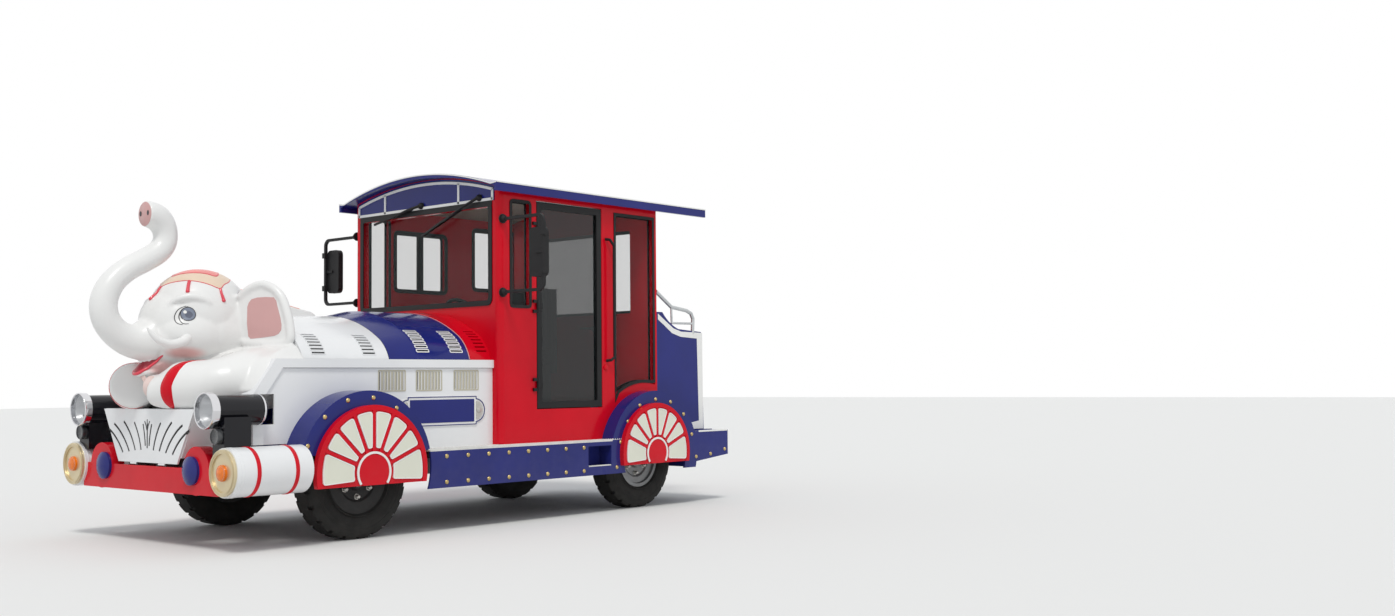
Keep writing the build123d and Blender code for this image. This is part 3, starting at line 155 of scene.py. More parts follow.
# %% The finish recipe
def finish(name, colour, rough, metal=0.0, coat=0.0, drift=0.05, scale=3.0, grain=0.0,
           grain_scale=400.0, dust=0.0, level=0.5):
    """A procedural paint, plastic, rubber or metal; dust is how strongly the low parts grey over."""
    made = bpy.data.materials.new(name)
    made.use_nodes = True
    tree = made.node_tree
    shader = tree.nodes["Principled BSDF"]
    shader.inputs["Metallic"].default_value = metal
    shader.inputs["Coat Weight"].default_value = coat
    shader.inputs["Coat Roughness"].default_value = 0.06
    shader.inputs["Specular IOR Level"].default_value = level
    place = tree.nodes.new("ShaderNodeTexCoord")
    broad = tree.nodes.new("ShaderNodeTexNoise")
    broad.inputs["Scale"].default_value = scale
    broad.inputs["Detail"].default_value = 6
    tree.links.new(place.outputs["Object"], broad.inputs["Vector"])
    ramp = tree.nodes.new("ShaderNodeValToRGB")
    ramp.color_ramp.elements[0].position = 0.3
    ramp.color_ramp.elements[1].position = 0.7
    ramp.color_ramp.elements[0].color = (*[c * (1 - drift) for c in colour], 1)
    ramp.color_ramp.elements[1].color = (*[min(1, c * (1 + drift)) for c in colour], 1)
    tree.links.new(broad.outputs["Fac"], ramp.inputs["Fac"])
    colour_out = ramp.outputs["Color"]
    if dust:
        split = tree.nodes.new("ShaderNodeSeparateXYZ")
        tree.links.new(place.outputs["Object"], split.inputs[0])
        height = tree.nodes.new("ShaderNodeMapRange")
        height.inputs["From Min"].default_value = 0.05
        height.inputs["From Max"].default_value = 0.75
        height.inputs["To Min"].default_value = dust
        height.inputs["To Max"].default_value = 0.0
        tree.links.new(split.outputs["Z"], height.inputs["Value"])
        specks = tree.nodes.new("ShaderNodeTexNoise")
        specks.inputs["Scale"].default_value = 14
        specks.inputs["Detail"].default_value = 8
        tree.links.new(place.outputs["Object"], specks.inputs["Vector"])
        patch = tree.nodes.new("ShaderNodeMath")
        patch.operation = "MULTIPLY"
        tree.links.new(height.outputs["Result"], patch.inputs[0])
        tree.links.new(specks.outputs["Fac"], patch.inputs[1])
        dusty = tree.nodes.new("ShaderNodeMixRGB")
        dusty.inputs["Color2"].default_value = (0.36, 0.34, 0.31, 1)
        tree.links.new(patch.outputs[0], dusty.inputs["Fac"])
        tree.links.new(colour_out, dusty.inputs["Color1"])
        colour_out = dusty.outputs["Color"]
    tree.links.new(colour_out, shader.inputs["Base Color"])
    gloss = tree.nodes.new("ShaderNodeMapRange")
    gloss.inputs["To Min"].default_value = rough * 0.75
    gloss.inputs["To Max"].default_value = min(1, rough * 1.3)
    tree.links.new(broad.outputs["Fac"], gloss.inputs["Value"])
    tree.links.new(gloss.outputs["Result"], shader.inputs["Roughness"])
    if grain:
        fine = tree.nodes.new("ShaderNodeTexNoise")
        fine.inputs["Scale"].default_value = grain_scale
        fine.inputs["Detail"].default_value = 2
        tree.links.new(place.outputs["Object"], fine.inputs["Vector"])
        bump = tree.nodes.new("ShaderNodeBump")
        bump.inputs["Strength"].default_value = grain
        bump.inputs["Distance"].default_value = 0.002
        tree.links.new(fine.outputs["Fac"], bump.inputs["Height"])
        tree.links.new(bump.outputs["Normal"], shader.inputs["Normal"])
    return made


white_gloss = finish("white_gloss_paint", (0.80, 0.81, 0.82), 0.22, coat=0.15, level=0.3, drift=0.025, grain=0.02, dust=0.18)
blue_gloss = finish("blue_gloss_paint", (0.012, 0.018, 0.165), 0.16, coat=0.12, level=0.22, drift=0.10, grain=0.02, dust=0.12)
red_gloss = finish("red_gloss_paint", (0.62, 0.002, 0.014), 0.18, coat=0.05, level=0.14, drift=0.06, grain=0.02, dust=0.10)
figure_gloss = finish("figure_gloss_paint", (0.80, 0.80, 0.79), 0.30, coat=0.12, level=0.3, drift=0.02, grain=0.015)
cream_panel = finish("cream_panel_paint", (0.72, 0.73, 0.62), 0.35, coat=0.2, drift=0.03)
white_edge = finish("white_edge_paint", (0.82, 0.82, 0.80), 0.35, coat=0.2, drift=0.03)
rosy_line = finish("rosy_line_paint", (0.70, 0.05, 0.08), 0.30, coat=0.3, drift=0.04)
beige_grille = finish("beige_grille_paint", (0.50, 0.47, 0.37), 0.45, drift=0.05)
# Near-black for the dark seams, and also painted shade inside slots, holes and openings.
painted_shade_and_seam_dark = finish("painted_shade_and_seam_dark", (0.012, 0.012, 0.013), 0.7, drift=0.1)
black_gloss = finish("black_gloss_paint", (0.006, 0.006, 0.009), 0.14, coat=0.1, drift=0.1, level=0.3)
black_satin = finish("black_satin_paint", (0.010, 0.010, 0.011), 0.42, drift=0.12, grain=0.10, dust=0.1, level=0.25)
black_moulded = finish("black_moulded_plastic", (0.012, 0.012, 0.013), 0.50, drift=0.1, grain=0.35, grain_scale=900, level=0.25)
chassis_finish = finish("chassis_black_paint", (0.020, 0.020, 0.022), 0.6, drift=0.2, grain=0.2, dust=0.6)
engine_finish = finish("engine_grey_casting", (0.20, 0.21, 0.22), 0.55, metal=0.4, drift=0.2, grain=0.5, dust=0.4)
champagne = finish("champagne_satin_metal", (0.66, 0.56, 0.36), 0.30, metal=0.55, coat=0.2, drift=0.05, grain=0.05)
chrome = finish("bright_chrome", (0.72, 0.72, 0.74), 0.07, metal=1.0, drift=0.02)
brass = finish("brass_rivet", (0.52, 0.40, 0.18), 0.28, metal=0.9, drift=0.15, scale=30)
brushed = finish("brushed_rail", (0.55, 0.57, 0.58), 0.28, metal=0.85, drift=0.06, scale=20, grain=0.05)
steel_pale = finish("pale_plated_steel", (0.50, 0.49, 0.46), 0.35, metal=0.8, drift=0.1, scale=30)
rubber = finish("tyre_rubber", (0.009, 0.009, 0.009), 0.7, drift=0.25, scale=9, grain=0.5, grain_scale=300,
                dust=0.10, level=0.2)
floor_rubber = finish("ribbed_floor_rubber", (0.03, 0.03, 0.032), 0.8, drift=0.2, grain=0.4)
rim_black = finish("rim_black_paint", (0.010, 0.010, 0.011), 0.45, drift=0.2, dust=0.10, level=0.25)
rim_grey = finish("rim_grey_paint", (0.22, 0.23, 0.24), 0.4, metal=0.5, drift=0.2, dust=0.35)
tread_plate = finish("white_tread_paint", (0.70, 0.70, 0.67), 0.55, drift=0.08, scale=12, grain=0.8, grain_scale=220)
seat_cloth = finish("dark_seat_cloth", (0.020, 0.020, 0.023), 0.9, drift=0.2, grain=0.9, grain_scale=900, level=0.2)
lining_cloth = finish("beige_roof_lining", (0.42, 0.38, 0.31), 0.9, drift=0.08, grain=0.5, grain_scale=700)
pink_paint = finish("pale_pink_paint", (0.66, 0.40, 0.38), 0.35, coat=0.3, drift=0.05)
soft_pink = finish("softest_pink_paint", (0.74, 0.58, 0.54), 0.35, coat=0.3, drift=0.05)
peach_cloth = finish("peach_headcloth_paint", (0.76, 0.60, 0.46), 0.4, coat=0.2, drift=0.05)
iris_grey = finish("blue_grey_iris", (0.17, 0.20, 0.27), 0.2, coat=0.8, drift=0.15, scale=60)
reflector = finish("lamp_reflector", (0.62, 0.63, 0.65), 0.28, metal=0.35, coat=0.3, drift=0.12, scale=14)
fog_grey = finish("fog_lamp_grey", (0.055, 0.058, 0.062), 0.25, metal=0.2, coat=0.4, drift=0.15, scale=20)
ink = finish("black_ink_line", (0.02, 0.02, 0.025), 0.4, drift=0.05)
salmon_paint = finish("salmon_cloth_paint", (0.80, 0.22, 0.20), 0.35, coat=0.2, drift=0.08, scale=12)
deep_red = finish("deep_red_mouth_paint", (0.34, 0.012, 0.03), 0.35, coat=0.2, drift=0.1, scale=12)
ear_pink = finish("ear_pink_paint", (0.62, 0.36, 0.35), 0.4, coat=0.15, drift=0.04, level=0.3)
pupil_grey = finish("dark_blue_grey_pupil", (0.085, 0.10, 0.15), 0.2, coat=0.8, drift=0.1, scale=60)
print(len(bpy.data.materials), "finishes")

# %% [markdown]
# A pane of the real cab is 5 mm safety glass: almost all light goes straight through, a little is
# reflected. Refraction would cost many light bounces for no visible gain in a flat pane, so the
# pane is mostly transparent with a sharp reflection. The door's pane is smoked, and the lamp lens
# is ribbed, so it gets a ripple.

# %% Glass
def glass(name, tint, solid, rough=0.03, ripple=0.0):
    """A pane that lets most light straight through; solid is how much of its own tint shows."""
    made = bpy.data.materials.new(name)
    made.use_nodes = True
    tree = made.node_tree
    shader = tree.nodes["Principled BSDF"]
    shader.inputs["Alpha"].default_value = solid
    shader.inputs["Specular IOR Level"].default_value = 0.6
    place = tree.nodes.new("ShaderNodeTexCoord")
    haze = tree.nodes.new("ShaderNodeTexNoise")
    haze.inputs["Scale"].default_value = 4
    haze.inputs["Detail"].default_value = 5
    tree.links.new(place.outputs["Object"], haze.inputs["Vector"])
    shade = tree.nodes.new("ShaderNodeValToRGB")
    shade.color_ramp.elements[0].color = (*[c * 0.8 for c in tint], 1)
    shade.color_ramp.elements[1].color = (*tint, 1)
    tree.links.new(haze.outputs["Fac"], shade.inputs["Fac"])
    tree.links.new(shade.outputs["Color"], shader.inputs["Base Color"])
    smear = tree.nodes.new("ShaderNodeMapRange")
    smear.inputs["To Min"].default_value = rough * 0.5
    smear.inputs["To Max"].default_value = rough * 2
    tree.links.new(haze.outputs["Fac"], smear.inputs["Value"])
    tree.links.new(smear.outputs["Result"], shader.inputs["Roughness"])
    if ripple:
        wave = tree.nodes.new("ShaderNodeTexWave")
        wave.bands_direction = "Y"
        wave.inputs["Scale"].default_value = 30
        tree.links.new(place.outputs["Object"], wave.inputs["Vector"])
        bump = tree.nodes.new("ShaderNodeBump")
        bump.inputs["Strength"].default_value = ripple
        bump.inputs["Distance"].default_value = 0.003
        tree.links.new(wave.outputs["Fac"], bump.inputs["Height"])
        tree.links.new(bump.outputs["Normal"], shader.inputs["Normal"])
    return made


window_glass = glass("window_glass", (0.05, 0.07, 0.07), 0.12)
smoked_glass = glass("smoked_door_glass", (0.012, 0.016, 0.017), 0.62)
lens_glass = glass("ribbed_lens_glass", (0.75, 0.78, 0.80), 0.16, 0.05, 0.6)
amber_glass = finish("amber_lens", (0.78, 0.17, 0.002), 0.15, coat=0.2, drift=0.15, scale=60)

# %% [markdown]
# ## Paint the solids
# Every solid whose shape is right keeps its own mesh and only changes its finish. The table says
# which paint goes on which solid, in the order a painter would mask them.

# %% Paint table
PAINTS = [
    (white_gloss, "bumper_cylinders front_housing grille_flap bonnet_sides bonnet_barrel"),
    (blue_gloss, "buffers nameplates bonnet_band cab_roof tail_panels rear_platform side_skirts "
                 "front_wheel_arches rear_wheel_arches"),
    (red_gloss, "front_bumper bonnet_cowl cab_front_wall cab_rear_wall cab_left_wall cab_right_wall "
                "half_wheel_ornaments"),
    (figure_gloss, "elephant_head elephant_ears elephant_tusks elephant_forelegs"),
    (chassis_finish, "chassis_frame frame_crossmembers front_axle_beam rear_axle knuckle_left "
                     "knuckle_right leaf_springs tow_jaw"),
    (engine_finish, "engine_block"),
    (champagne, "cylinder_end_plates"),
    (black_gloss, "headlamp_bodies"),
    (black_moulded, "dashboard steering_wheel seat_frame mirrors"),
    (black_satin, "hinges cab_door"),
    (chrome, "headlamp_bezels"),
    (lens_glass, "lamp_lenses"),
    (window_glass, "cab_glass"),
    (smoked_glass, "door_glass"),
    (floor_rubber, "cab_floor"),
    (seat_cloth, "seat_cushion seat_back_cushion"),
    (brushed, "grab_rails"),
    (tread_plate, "running_boards"),
    (rim_black, "rim_front_left rim_front_right"),
    (rim_grey, "rim_rear_left rim_rear_right"),
    (rubber, "tyre_front_left tyre_front_right tyre_rear_left tyre_rear_right"),
]
for paint, names in PAINTS:
    for name in names.split():
        if name in nodes:
            slots = nodes[name].data.materials
            slots.clear()
            slots.append(paint)
unpainted = [n for n in nodes if not any(n in names.split() for _, names in PAINTS)]
print("unpainted", unpainted)

# %% [markdown]
# ## Making pieces
# Four small makers cover most of the trim: a ball and a tapered tube for sculpting, a flat plate
# cut to an outline, and a turned part spun around an axis like work on a lathe. Each fills a bmesh,
# and one function then turns that bmesh into a named piece that rides on a body.


def piece(name, shape, paint, body="chassis", sharp=35):
    """Turn a finished bmesh into a named piece with one finish that rides on a body."""
    mesh = bpy.data.meshes.new(name)
    bmesh.ops.recalc_face_normals(shape, faces=shape.faces)
    shape.to_mesh(mesh)
    shape.free()
    made = bpy.data.objects.new(name, mesh)
    scene.collection.objects.link(made)
    mesh.materials.append(paint)
    mesh.shade_smooth()
    mesh.set_sharp_from_angle(angle=math.radians(sharp))
    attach(made, body)
    return made


def ball(shape, centre, radii, rings=20):
    """An ellipsoid of clay at a place in metres."""
    made = bmesh.ops.create_uvsphere(shape, u_segments=rings * 2, v_segments=rings, radius=1.0)
    for v in made["verts"]:
        v.co = centre + Vector([v.co[i] * radii[i] for i in range(3)])


def tube(shape, points, radii, sides=16):
    """A closed round tube along points, with one radius for each point."""
    points = [Vector(p) for p in points]
    if not isinstance(radii, (list, tuple)):
        radii = [radii] * len(points)
    runs = [points[min(i + 1, len(points) - 1)] - points[max(i - 1, 0)] for i in range(len(points))]
    side = runs[0].orthogonal().normalized()
    rows = []
    for place, run, radius in zip(points, runs, radii):
        run = run.normalized()
        side = (side - run * side.dot(run)).normalized()
        over = run.cross(side)
        angles = [2 * math.pi * k / sides for k in range(sides)]
        rows.append([shape.verts.new(place + radius * (side * math.cos(a) + over * math.sin(a))) for a in angles])
    for low, high in zip(rows, rows[1:]):
        for k in range(sides):
            shape.faces.new((low[k], low[(k + 1) % sides], high[(k + 1) % sides], high[k]))
    shape.faces.new(list(reversed(rows[0])))
    shape.faces.new(rows[-1])


def curve_points(points, steps=6):
    """Points on a smooth line through the given ones, each a place or a place with a radius."""
    rows = [tuple(p) for p in points]
    rows = [rows[0]] + rows + [rows[-1]]
    made = []
    for a, b, c, d in zip(rows, rows[1:], rows[2:], rows[3:]):
        for k in range(steps):
            t = k / steps
            made.append(tuple(0.5 * (2 * q + (r - p) * t + (2 * p - 5 * q + 4 * r - s) * t * t
                                     + (3 * q - p - 3 * r + s) * t ** 3) for p, q, r, s in zip(a, b, c, d)))
    made.append(rows[-1])
    return made


def slab(shape, outline, push):
    """A flat plate: the outline's places in metres, and the same outline pushed by a vector."""
    front = [shape.verts.new(Vector(p)) for p in outline]
    back = [shape.verts.new(Vector(p) + push) for p in outline]
    shape.faces.new(front)
    shape.faces.new(list(reversed(back)))
    for k in range(len(front)):
        n = (k + 1) % len(front)
        shape.faces.new((front[k], back[k], back[n], front[n]))


def turned(shape, centre, axis, profile, sides=32, hollow=False):
    """A part turned on a lathe from (distance along the axis, radius) in metres; hollow makes a ring."""
    axis = Vector(axis).normalized()
    side = axis.orthogonal().normalized()
    over = axis.cross(side)
    rows = []
    for along, radius in profile:
        if radius < 1e-6:
            rows.append([shape.verts.new(centre + axis * along)])
            continue
        angles = [2 * math.pi * (k + 0.5) / sides for k in range(sides)]
        rows.append([shape.verts.new(centre + axis * along + radius * (side * math.cos(a) + over * math.sin(a)))
                     for a in angles])
    for low, high in zip(rows, rows[1:] + rows[:1] if hollow else rows[1:]):
        for k in range(sides):
            n = (k + 1) % sides
            corners = [low[k % len(low)], low[n % len(low)], high[n % len(high)], high[k % len(high)]]
            corners = list(dict.fromkeys(corners))
            if len(corners) > 2:
                shape.faces.new(corners)
    for row, flip in ((rows[0], True), (rows[-1], False)):
        if len(row) > 1 and not hollow:
            shape.faces.new(list(reversed(row)) if flip else row)


def strip(shape, points, width, thick, normal):
    """A flat bar of rectangular section that follows points; normal is the way its face looks."""
    points = [Vector(p) for p in points]
    normal = Vector(normal).normalized()
    rows = []
    for i, place in enumerate(points):
        run = (points[min(i + 1, len(points) - 1)] - points[max(i - 1, 0)]).normalized()
        wide = normal.cross(run).normalized() * width / 2
        rows.append([shape.verts.new(place + wide), shape.verts.new(place - wide),
                     shape.verts.new(place - wide + normal * thick), shape.verts.new(place + wide + normal * thick)])
    for low, high in zip(rows, rows[1:]):
        for k in range(4):
            shape.faces.new((low[k], low[(k + 1) % 4], high[(k + 1) % 4], high[k]))
    shape.faces.new(list(reversed(rows[0])))
    shape.faces.new(rows[-1])


def closed_strip(shape, points, width, thick, normal):
    """The same flat bar as a closed frame; its corners are mitred."""
    points = [Vector(p) for p in points]
    normal = Vector(normal).normalized()
    count = len(points)
    rows = []
    for i in range(count):
        before = (points[i] - points[i - 1]).normalized()
        after = (points[(i + 1) % count] - points[i]).normalized()
        run = (before + after).normalized()
        stretch = 1 / max(0.5, before.dot(run))
        wide = normal.cross(run).normalized() * width / 2 * stretch
        place = points[i]
        rows.append([shape.verts.new(place + wide), shape.verts.new(place - wide),
                     shape.verts.new(place - wide + normal * thick), shape.verts.new(place + wide + normal * thick)])
    for i in range(count):
        low, high = rows[i], rows[(i + 1) % count]
        for k in range(4):
            shape.faces.new((low[k], low[(k + 1) % 4], high[(k + 1) % 4], high[k]))


def rounded(corners, radius, steps=5):
    """Corner points of a polygon in a plane, each replaced by a small arc; radius may be a list."""
    corners = [Vector(c) for c in corners]
    radii = radius if isinstance(radius, (list, tuple)) else [radius] * len(corners)
    made = []
    for i, corner in enumerate(corners):
        to_last = (corners[i - 1] - corner)
        to_next = (corners[(i + 1) % len(corners)] - corner)
        r = radii[i]
        if r <= 0:
            made.append(corner)
            continue
        a, b = to_last.normalized(), to_next.normalized()
        half = a.angle(b) / 2
        cut = min(r / math.tan(half), to_last.length * 0.49, to_next.length * 0.49)
        start, stop = corner + a * cut, corner + b * cut
        for k in range(steps + 1):
            t = k / steps
            made.append((1 - t) ** 2 * start + 2 * t * (1 - t) * corner + t * t * stop)
    return made


print("makers ready")

# %% [markdown]
# ## The elephant figurehead
# The real figurehead is hand-laid fibreglass: a soft round head on a body that melts into the
# engine cover, a raised trunk, big ears and stubby forelegs that lie along the bonnet. It is
# modelled the way a sculptor roughs out clay. Balls and tapered tubes are pushed into each other,
# then a voxel remesh fuses them into one skin and a smooth pass melts the joins. Subdivision
# modelling would need a careful cage for the same soft form, and this stays easy to change.

# %% Rough out the clay
clay = bmesh.new()
MM = 0.001
TRUNK = [(1051, 2149, 86), (1010, 2147, 88), (963, 2128, 88), (924, 2084, 83), (906, 2025, 78), (914, 1962, 77),
         (960, 1903, 77), (1054, 1843, 77), (1158, 1785, 77), (1246, 1712, 79), (1300, 1630, 83),
         (1321, 1540, 86), (1298, 1443, 88), (1226, 1362, 94), (1128, 1320, 112), (1025, 1328, 150)]
trunk_line = curve_points([(s, 0, z, r) for s, z, r in TRUNK], 3)
tube(clay, [at(s, y, z) for s, y, z, r in trunk_line], [r * MM for s, y, z, r in trunk_line], 24)
BALLS = [  # station, y, z, three radii
    (661, 0, 1503, 334, 294, 303), (800, 0, 1450, 262, 248, 232), (745, 105, 1375, 275, 188, 186),
    (745, -105, 1375, 275, 188, 186), (870, 105, 1330, 165, 120, 125), (870, -105, 1330, 165, 120, 125),
    (870, 0, 1265, 175, 165, 115), (540, 0, 1430, 290, 300, 265), (540, 75, 1380, 260, 232, 215),
    (540, -75, 1380, 260, 232, 215), (610, 60, 1385, 270, 240, 215), (610, -60, 1385, 270, 240, 215),
]
for station, y, z, a, b, c in BALLS:
    ball(clay, at(station, y, z), (a * MM, b * MM, c * MM), 18)
jaw_line = curve_points([(830, 0, 1210, 118), (930, 0, 1172, 100), (1015, 0, 1142, 72), (1072, 0, 1119, 42),
                         (1098, 0, 1108, 24)], 3)
tube(clay, [at(s, y, z) for s, y, z, r in jaw_line], [r * MM for s, y, z, r in jaw_line], 20)
ball(clay, at(1026, 0, 1118), (0.084, 0.080, 0.036), 16)
ball(clay, at(980, 0, 1168), (0.085, 0.096, 0.050), 16)
neck_line = curve_points([(560, 0, 1430, 265), (395, 0, 1440, 250), (200, 0, 1437, 212), (20, 0, 1430, 165),
                          (-200, 0, 1425, 125)], 3)
tube(clay, [at(s, y, z) for s, y, z, r in neck_line], [r * MM for s, y, z, r in neck_line], 28)

SHOULDERS = [  # height, half width, front at the side, front in the middle, back
    (872, 690, 720, 830, 640), (970, 690, 745, 840, 640), (990, 780, 738, 840, 600), (1040, 792, 702, 840, 560),
    (1100, 792, 660, 830, 500), (1140, 790, 632, 810, 345), (1170, 784, 612, 780, 345), (1195, 772, 594, 745, 345),
    (1215, 745, 570, 700, 345), (1240, 722, 530, 640, 345), (1265, 700, 460, 560, 345), (1286, 672, 385, 460, 345),
]
shoulder_rows = []
for z, half, side_end, middle_end, back in SHOULDERS:
    row = []
    for k in range(41):
        y = half * math.sin(math.pi * (k / 40 - 0.5))
        swell = max(0.0, 1 - abs(y / half) ** 1.6) ** 0.75
        row.append(clay.verts.new(at(side_end + (middle_end - side_end) * swell, y, z)))
    row.append(clay.verts.new(at(back, half, z)))
    row.append(clay.verts.new(at(back, -half, z)))
    shoulder_rows.append(row)
count = len(shoulder_rows[0])
for low, high in zip(shoulder_rows, shoulder_rows[1:]):
    for k in range(count):
        clay.faces.new((low[k], low[(k + 1) % count], high[(k + 1) % count], high[k]))
clay.faces.new(list(reversed(shoulder_rows[0])))
clay.faces.new(shoulder_rows[-1])

LEG = [  # station, y, z, radius: from behind the foot back to the shoulder
    (930, 320, 1025, 162), (850, 430, 1024, 168), (755, 495, 1030, 183), (640, 505, 1045, 203),
    (520, 500, 1068, 206), (400, 495, 1080, 203)]
SOLE_FOOT = [(1052, 124, 1030, 138), (1044, 137, 1030, 147), (1020, 177, 1030, 153), (985, 235, 1028, 158)]
TOE_FOOT = [(1050, 127, 994, 76), (1040, 144, 992, 94), (1018, 180, 994, 110), (985, 235, 1004, 132),
            (958, 276, 1015, 150)]
TOE = [(985, 215, 1030, 78), (1020, 150, 1026, 78), (1044, 106, 1022, 74), (1060, 78, 1021, 58), (1068, 66, 1021, 30)]
for side, foot in ((1, TOE_FOOT), (-1, SOLE_FOOT)):
    leg_line = curve_points(foot + LEG, 3)
    tube(clay, [at(s, y * side, z) for s, y, z, r in leg_line], [r * MM for s, y, z, r in leg_line], 32)
toe_line = curve_points(TOE, 3)
tube(clay, [at(s, y, z) for s, y, z, r in toe_line], [r * MM for s, y, z, r in toe_line], 24)

EAR = [  # station, y, z of the ear's rim, from the root over the top and back under
    (517, 270, 1612), (499, 333, 1660), (471, 395, 1688), (446, 455, 1690), (418, 522, 1656), (397, 576, 1594),
    (384, 612, 1500), (376, 634, 1406), (376, 636, 1326), (393, 584, 1299), (428, 497, 1296), (464, 409, 1302),
    (506, 300, 1312)]
ear_rim = curve_points([(s, y, z, 22) for s, y, z in EAR], 3)
EAR_OUT = Vector((0.90, 0.43, 0)).normalized()
for side in (1, -1):
    face_way = Vector((EAR_OUT.x, EAR_OUT.y * side, 0))
    tube(clay, [at(s, y * side, z) for s, y, z, r in ear_rim], 0.030, 12)
    middle = at(530, 262 * side, 1460)
    low = [clay.verts.new(at(s, y * side, z) - face_way * 0.020) for s, y, z, r in ear_rim]
    high = [clay.verts.new(at(s, y * side, z) + face_way * 0.012) for s, y, z, r in ear_rim]
    low_hub, high_hub = clay.verts.new(middle - face_way * 0.05), clay.verts.new(middle + face_way * 0.02)
    for k in range(len(low) - 1):
        clay.faces.new((low[k], low[k + 1], low_hub))
        clay.faces.new((high[k + 1], high[k], high_hub))
        clay.faces.new((low[k + 1], low[k], high[k], high[k + 1]))
    clay.faces.new((low[0], low_hub, high_hub, high[0]))
    clay.faces.new((low_hub, low[-1], high[-1], high_hub))
BROW = [(978, 150, 1530, 5), (956, 168, 1566, 12), (920, 191, 1590, 21), (864, 221, 1606, 26),
        (812, 246, 1602, 25), (760, 266, 1583, 20), (726, 278, 1552, 9)]
brow_line = curve_points(BROW, 4)
for side in (1, -1):
    tube(clay, [at(s, y * side, z) for s, y, z, r in brow_line], [r * MM for s, y, z, r in brow_line], 12)
bmesh.ops.recalc_face_normals(clay, faces=clay.faces)
print("clay", len(clay.faces), "faces")

# %% Fuse and smooth the clay
figure = piece("elephant_figure", clay, figure_gloss, sharp=180)


def settle(made, kind, name, **values):
    """Add one modifier, set its values and apply it at once."""
    modifier = made.modifiers.new(name, kind)
    for key, value in values.items():
        setattr(modifier, key, value)
    with bpy.context.temp_override(object=made, active_object=made, selected_objects=[made]):
        bpy.ops.object.modifier_apply(modifier=name)


def blush(name, base, colour, spots):
    """The same paint with soft sprayed spots; each is (station, y, z, three radii) on both sides."""
    made = base.copy()
    made.name = name
    tree = made.node_tree
    shader = tree.nodes["Principled BSDF"]
    start = shader.inputs["Base Color"].links[0].from_socket
    place = tree.nodes.new("ShaderNodeTexCoord")
    mirrored = tree.nodes.new("ShaderNodeVectorMath")
    mirrored.operation = "ABSOLUTE"
    shifted = tree.nodes.new("ShaderNodeVectorMath")
    shifted.operation = "ADD"
    shifted.inputs[1].default_value = (10, 0, 0)
    tree.links.new(place.outputs["Object"], shifted.inputs[0])
    tree.links.new(shifted.outputs[0], mirrored.inputs[0])
    for s, y, z, a, b, c, strength in spots:
        centre = at(s, y, z) + Vector((10, 0, 0))
        away = tree.nodes.new("ShaderNodeVectorMath")
        away.operation = "SUBTRACT"
        away.inputs[1].default_value = centre
        scaled = tree.nodes.new("ShaderNodeVectorMath")
        scaled.operation = "DIVIDE"
        scaled.inputs[1].default_value = (a * MM, b * MM, c * MM)
        length = tree.nodes.new("ShaderNodeVectorMath")
        length.operation = "LENGTH"
        fade = tree.nodes.new("ShaderNodeMapRange")
        fade.interpolation_type = "SMOOTHSTEP"
        fade.inputs["From Min"].default_value = 0.35
        fade.inputs["From Max"].default_value = 1.15
        fade.inputs["To Min"].default_value = strength
        fade.inputs["To Max"].default_value = 0
        mix = tree.nodes.new("ShaderNodeMixRGB")
        mix.inputs["Color2"].default_value = (*colour, 1)
        tree.links.new(mirrored.outputs[0], away.inputs[0])
        tree.links.new(away.outputs[0], scaled.inputs[0])
        tree.links.new(scaled.outputs[0], length.inputs[0])
        tree.links.new(length.outputs["Value"], fade.inputs["Value"])
        tree.links.new(fade.outputs["Result"], mix.inputs["Fac"])
        tree.links.new(start, mix.inputs["Color1"])
        start = mix.outputs["Color"]
    tree.links.new(start, shader.inputs["Base Color"])
    return made


BLUSHES = [(875, 200, 1238, 150, 110, 50, 0.85), (965, 70, 1145, 110, 110, 60, 0.8)]
figure.data.materials.clear()
figure.data.materials.append(blush("blushing_figure_paint", figure_gloss, (0.78, 0.40, 0.38), BLUSHES))
settle(figure, "REMESH", "fuse", mode="VOXEL", voxel_size=0.0095, adaptivity=0)
settle(figure, "SMOOTH", "melt", factor=0.5, iterations=9)
figure.data.shade_smooth()
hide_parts("elephant_head", "elephant_forelegs", "elephant_ears")
print("figure", len(figure.data.polygons), "faces", [round(v, 3) for v in figure.dimensions])

# %% [markdown]
# The two tusks are separate ivory-white castings that plug into the cheeks and curl up, so they
# stay their own pieces and keep a crisp root.

# %% Tusks
TUSK = [(830, 195, 1372, 34), (872, 232, 1346, 33), (905, 256, 1322, 32), (954, 272, 1303, 30), (1019, 278, 1294, 28),
        (1090, 275, 1315, 23), (1135, 268, 1352, 16), (1162, 262, 1390, 7)]
tusks = bmesh.new()
for side in (1, -1):
    line = curve_points([(s, y * side, z, r) for s, y, z, r in TUSK], 4)
    tube(tusks, [at(s, y, z) for s, y, z, r in line], [r * MM for s, y, z, r in line], 20)
    s, y, z, r = TUSK[-1]
    ball(tusks, at(s, y * side, z), (0.0078,) * 3, 8)
tusks = piece("figure_tusks", tusks, figure_gloss, sharp=60)
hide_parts("elephant_tusks")
print("tusks", len(tusks.data.polygons), "faces")

# %% [markdown]
# ## Paint on the figure
# The real figure is white gloss with hand-painted parts: a headcloth with tassels, round eyes, pink
# ear linings, a red mouth and red anklets. Each painted part is a very thin skin that is snapped
# onto the clay and sinks into it at its rim, so its edge stays crisp from any side. A texture would
# need an unwrapped skin, and the voxel clay has none.

# %% Brushes
skin = BVHTree.FromPolygons([v.co.copy() for v in figure.data.vertices],
                            [tuple(face.vertices) for face in figure.data.polygons])


def on_skin(place, lift):
    """The nearest place on the clay, raised by lift in mm, and the way the clay faces there."""
    spot, out, _, _ = skin.find_nearest(place)
    return spot + out * lift * MM, out


def even_loop(corners, step=12.0):
    """A closed outline in mm cut into short, even runs, as places in metres."""
    places = [at(*corner) for corner in corners]
    made = []
    for one, two in zip(places, places[1:] + places[:1]):
        count = max(1, round((two - one).length / (step * MM)))
        made += [one.lerp(two, k / count) for k in range(count)]
    return made


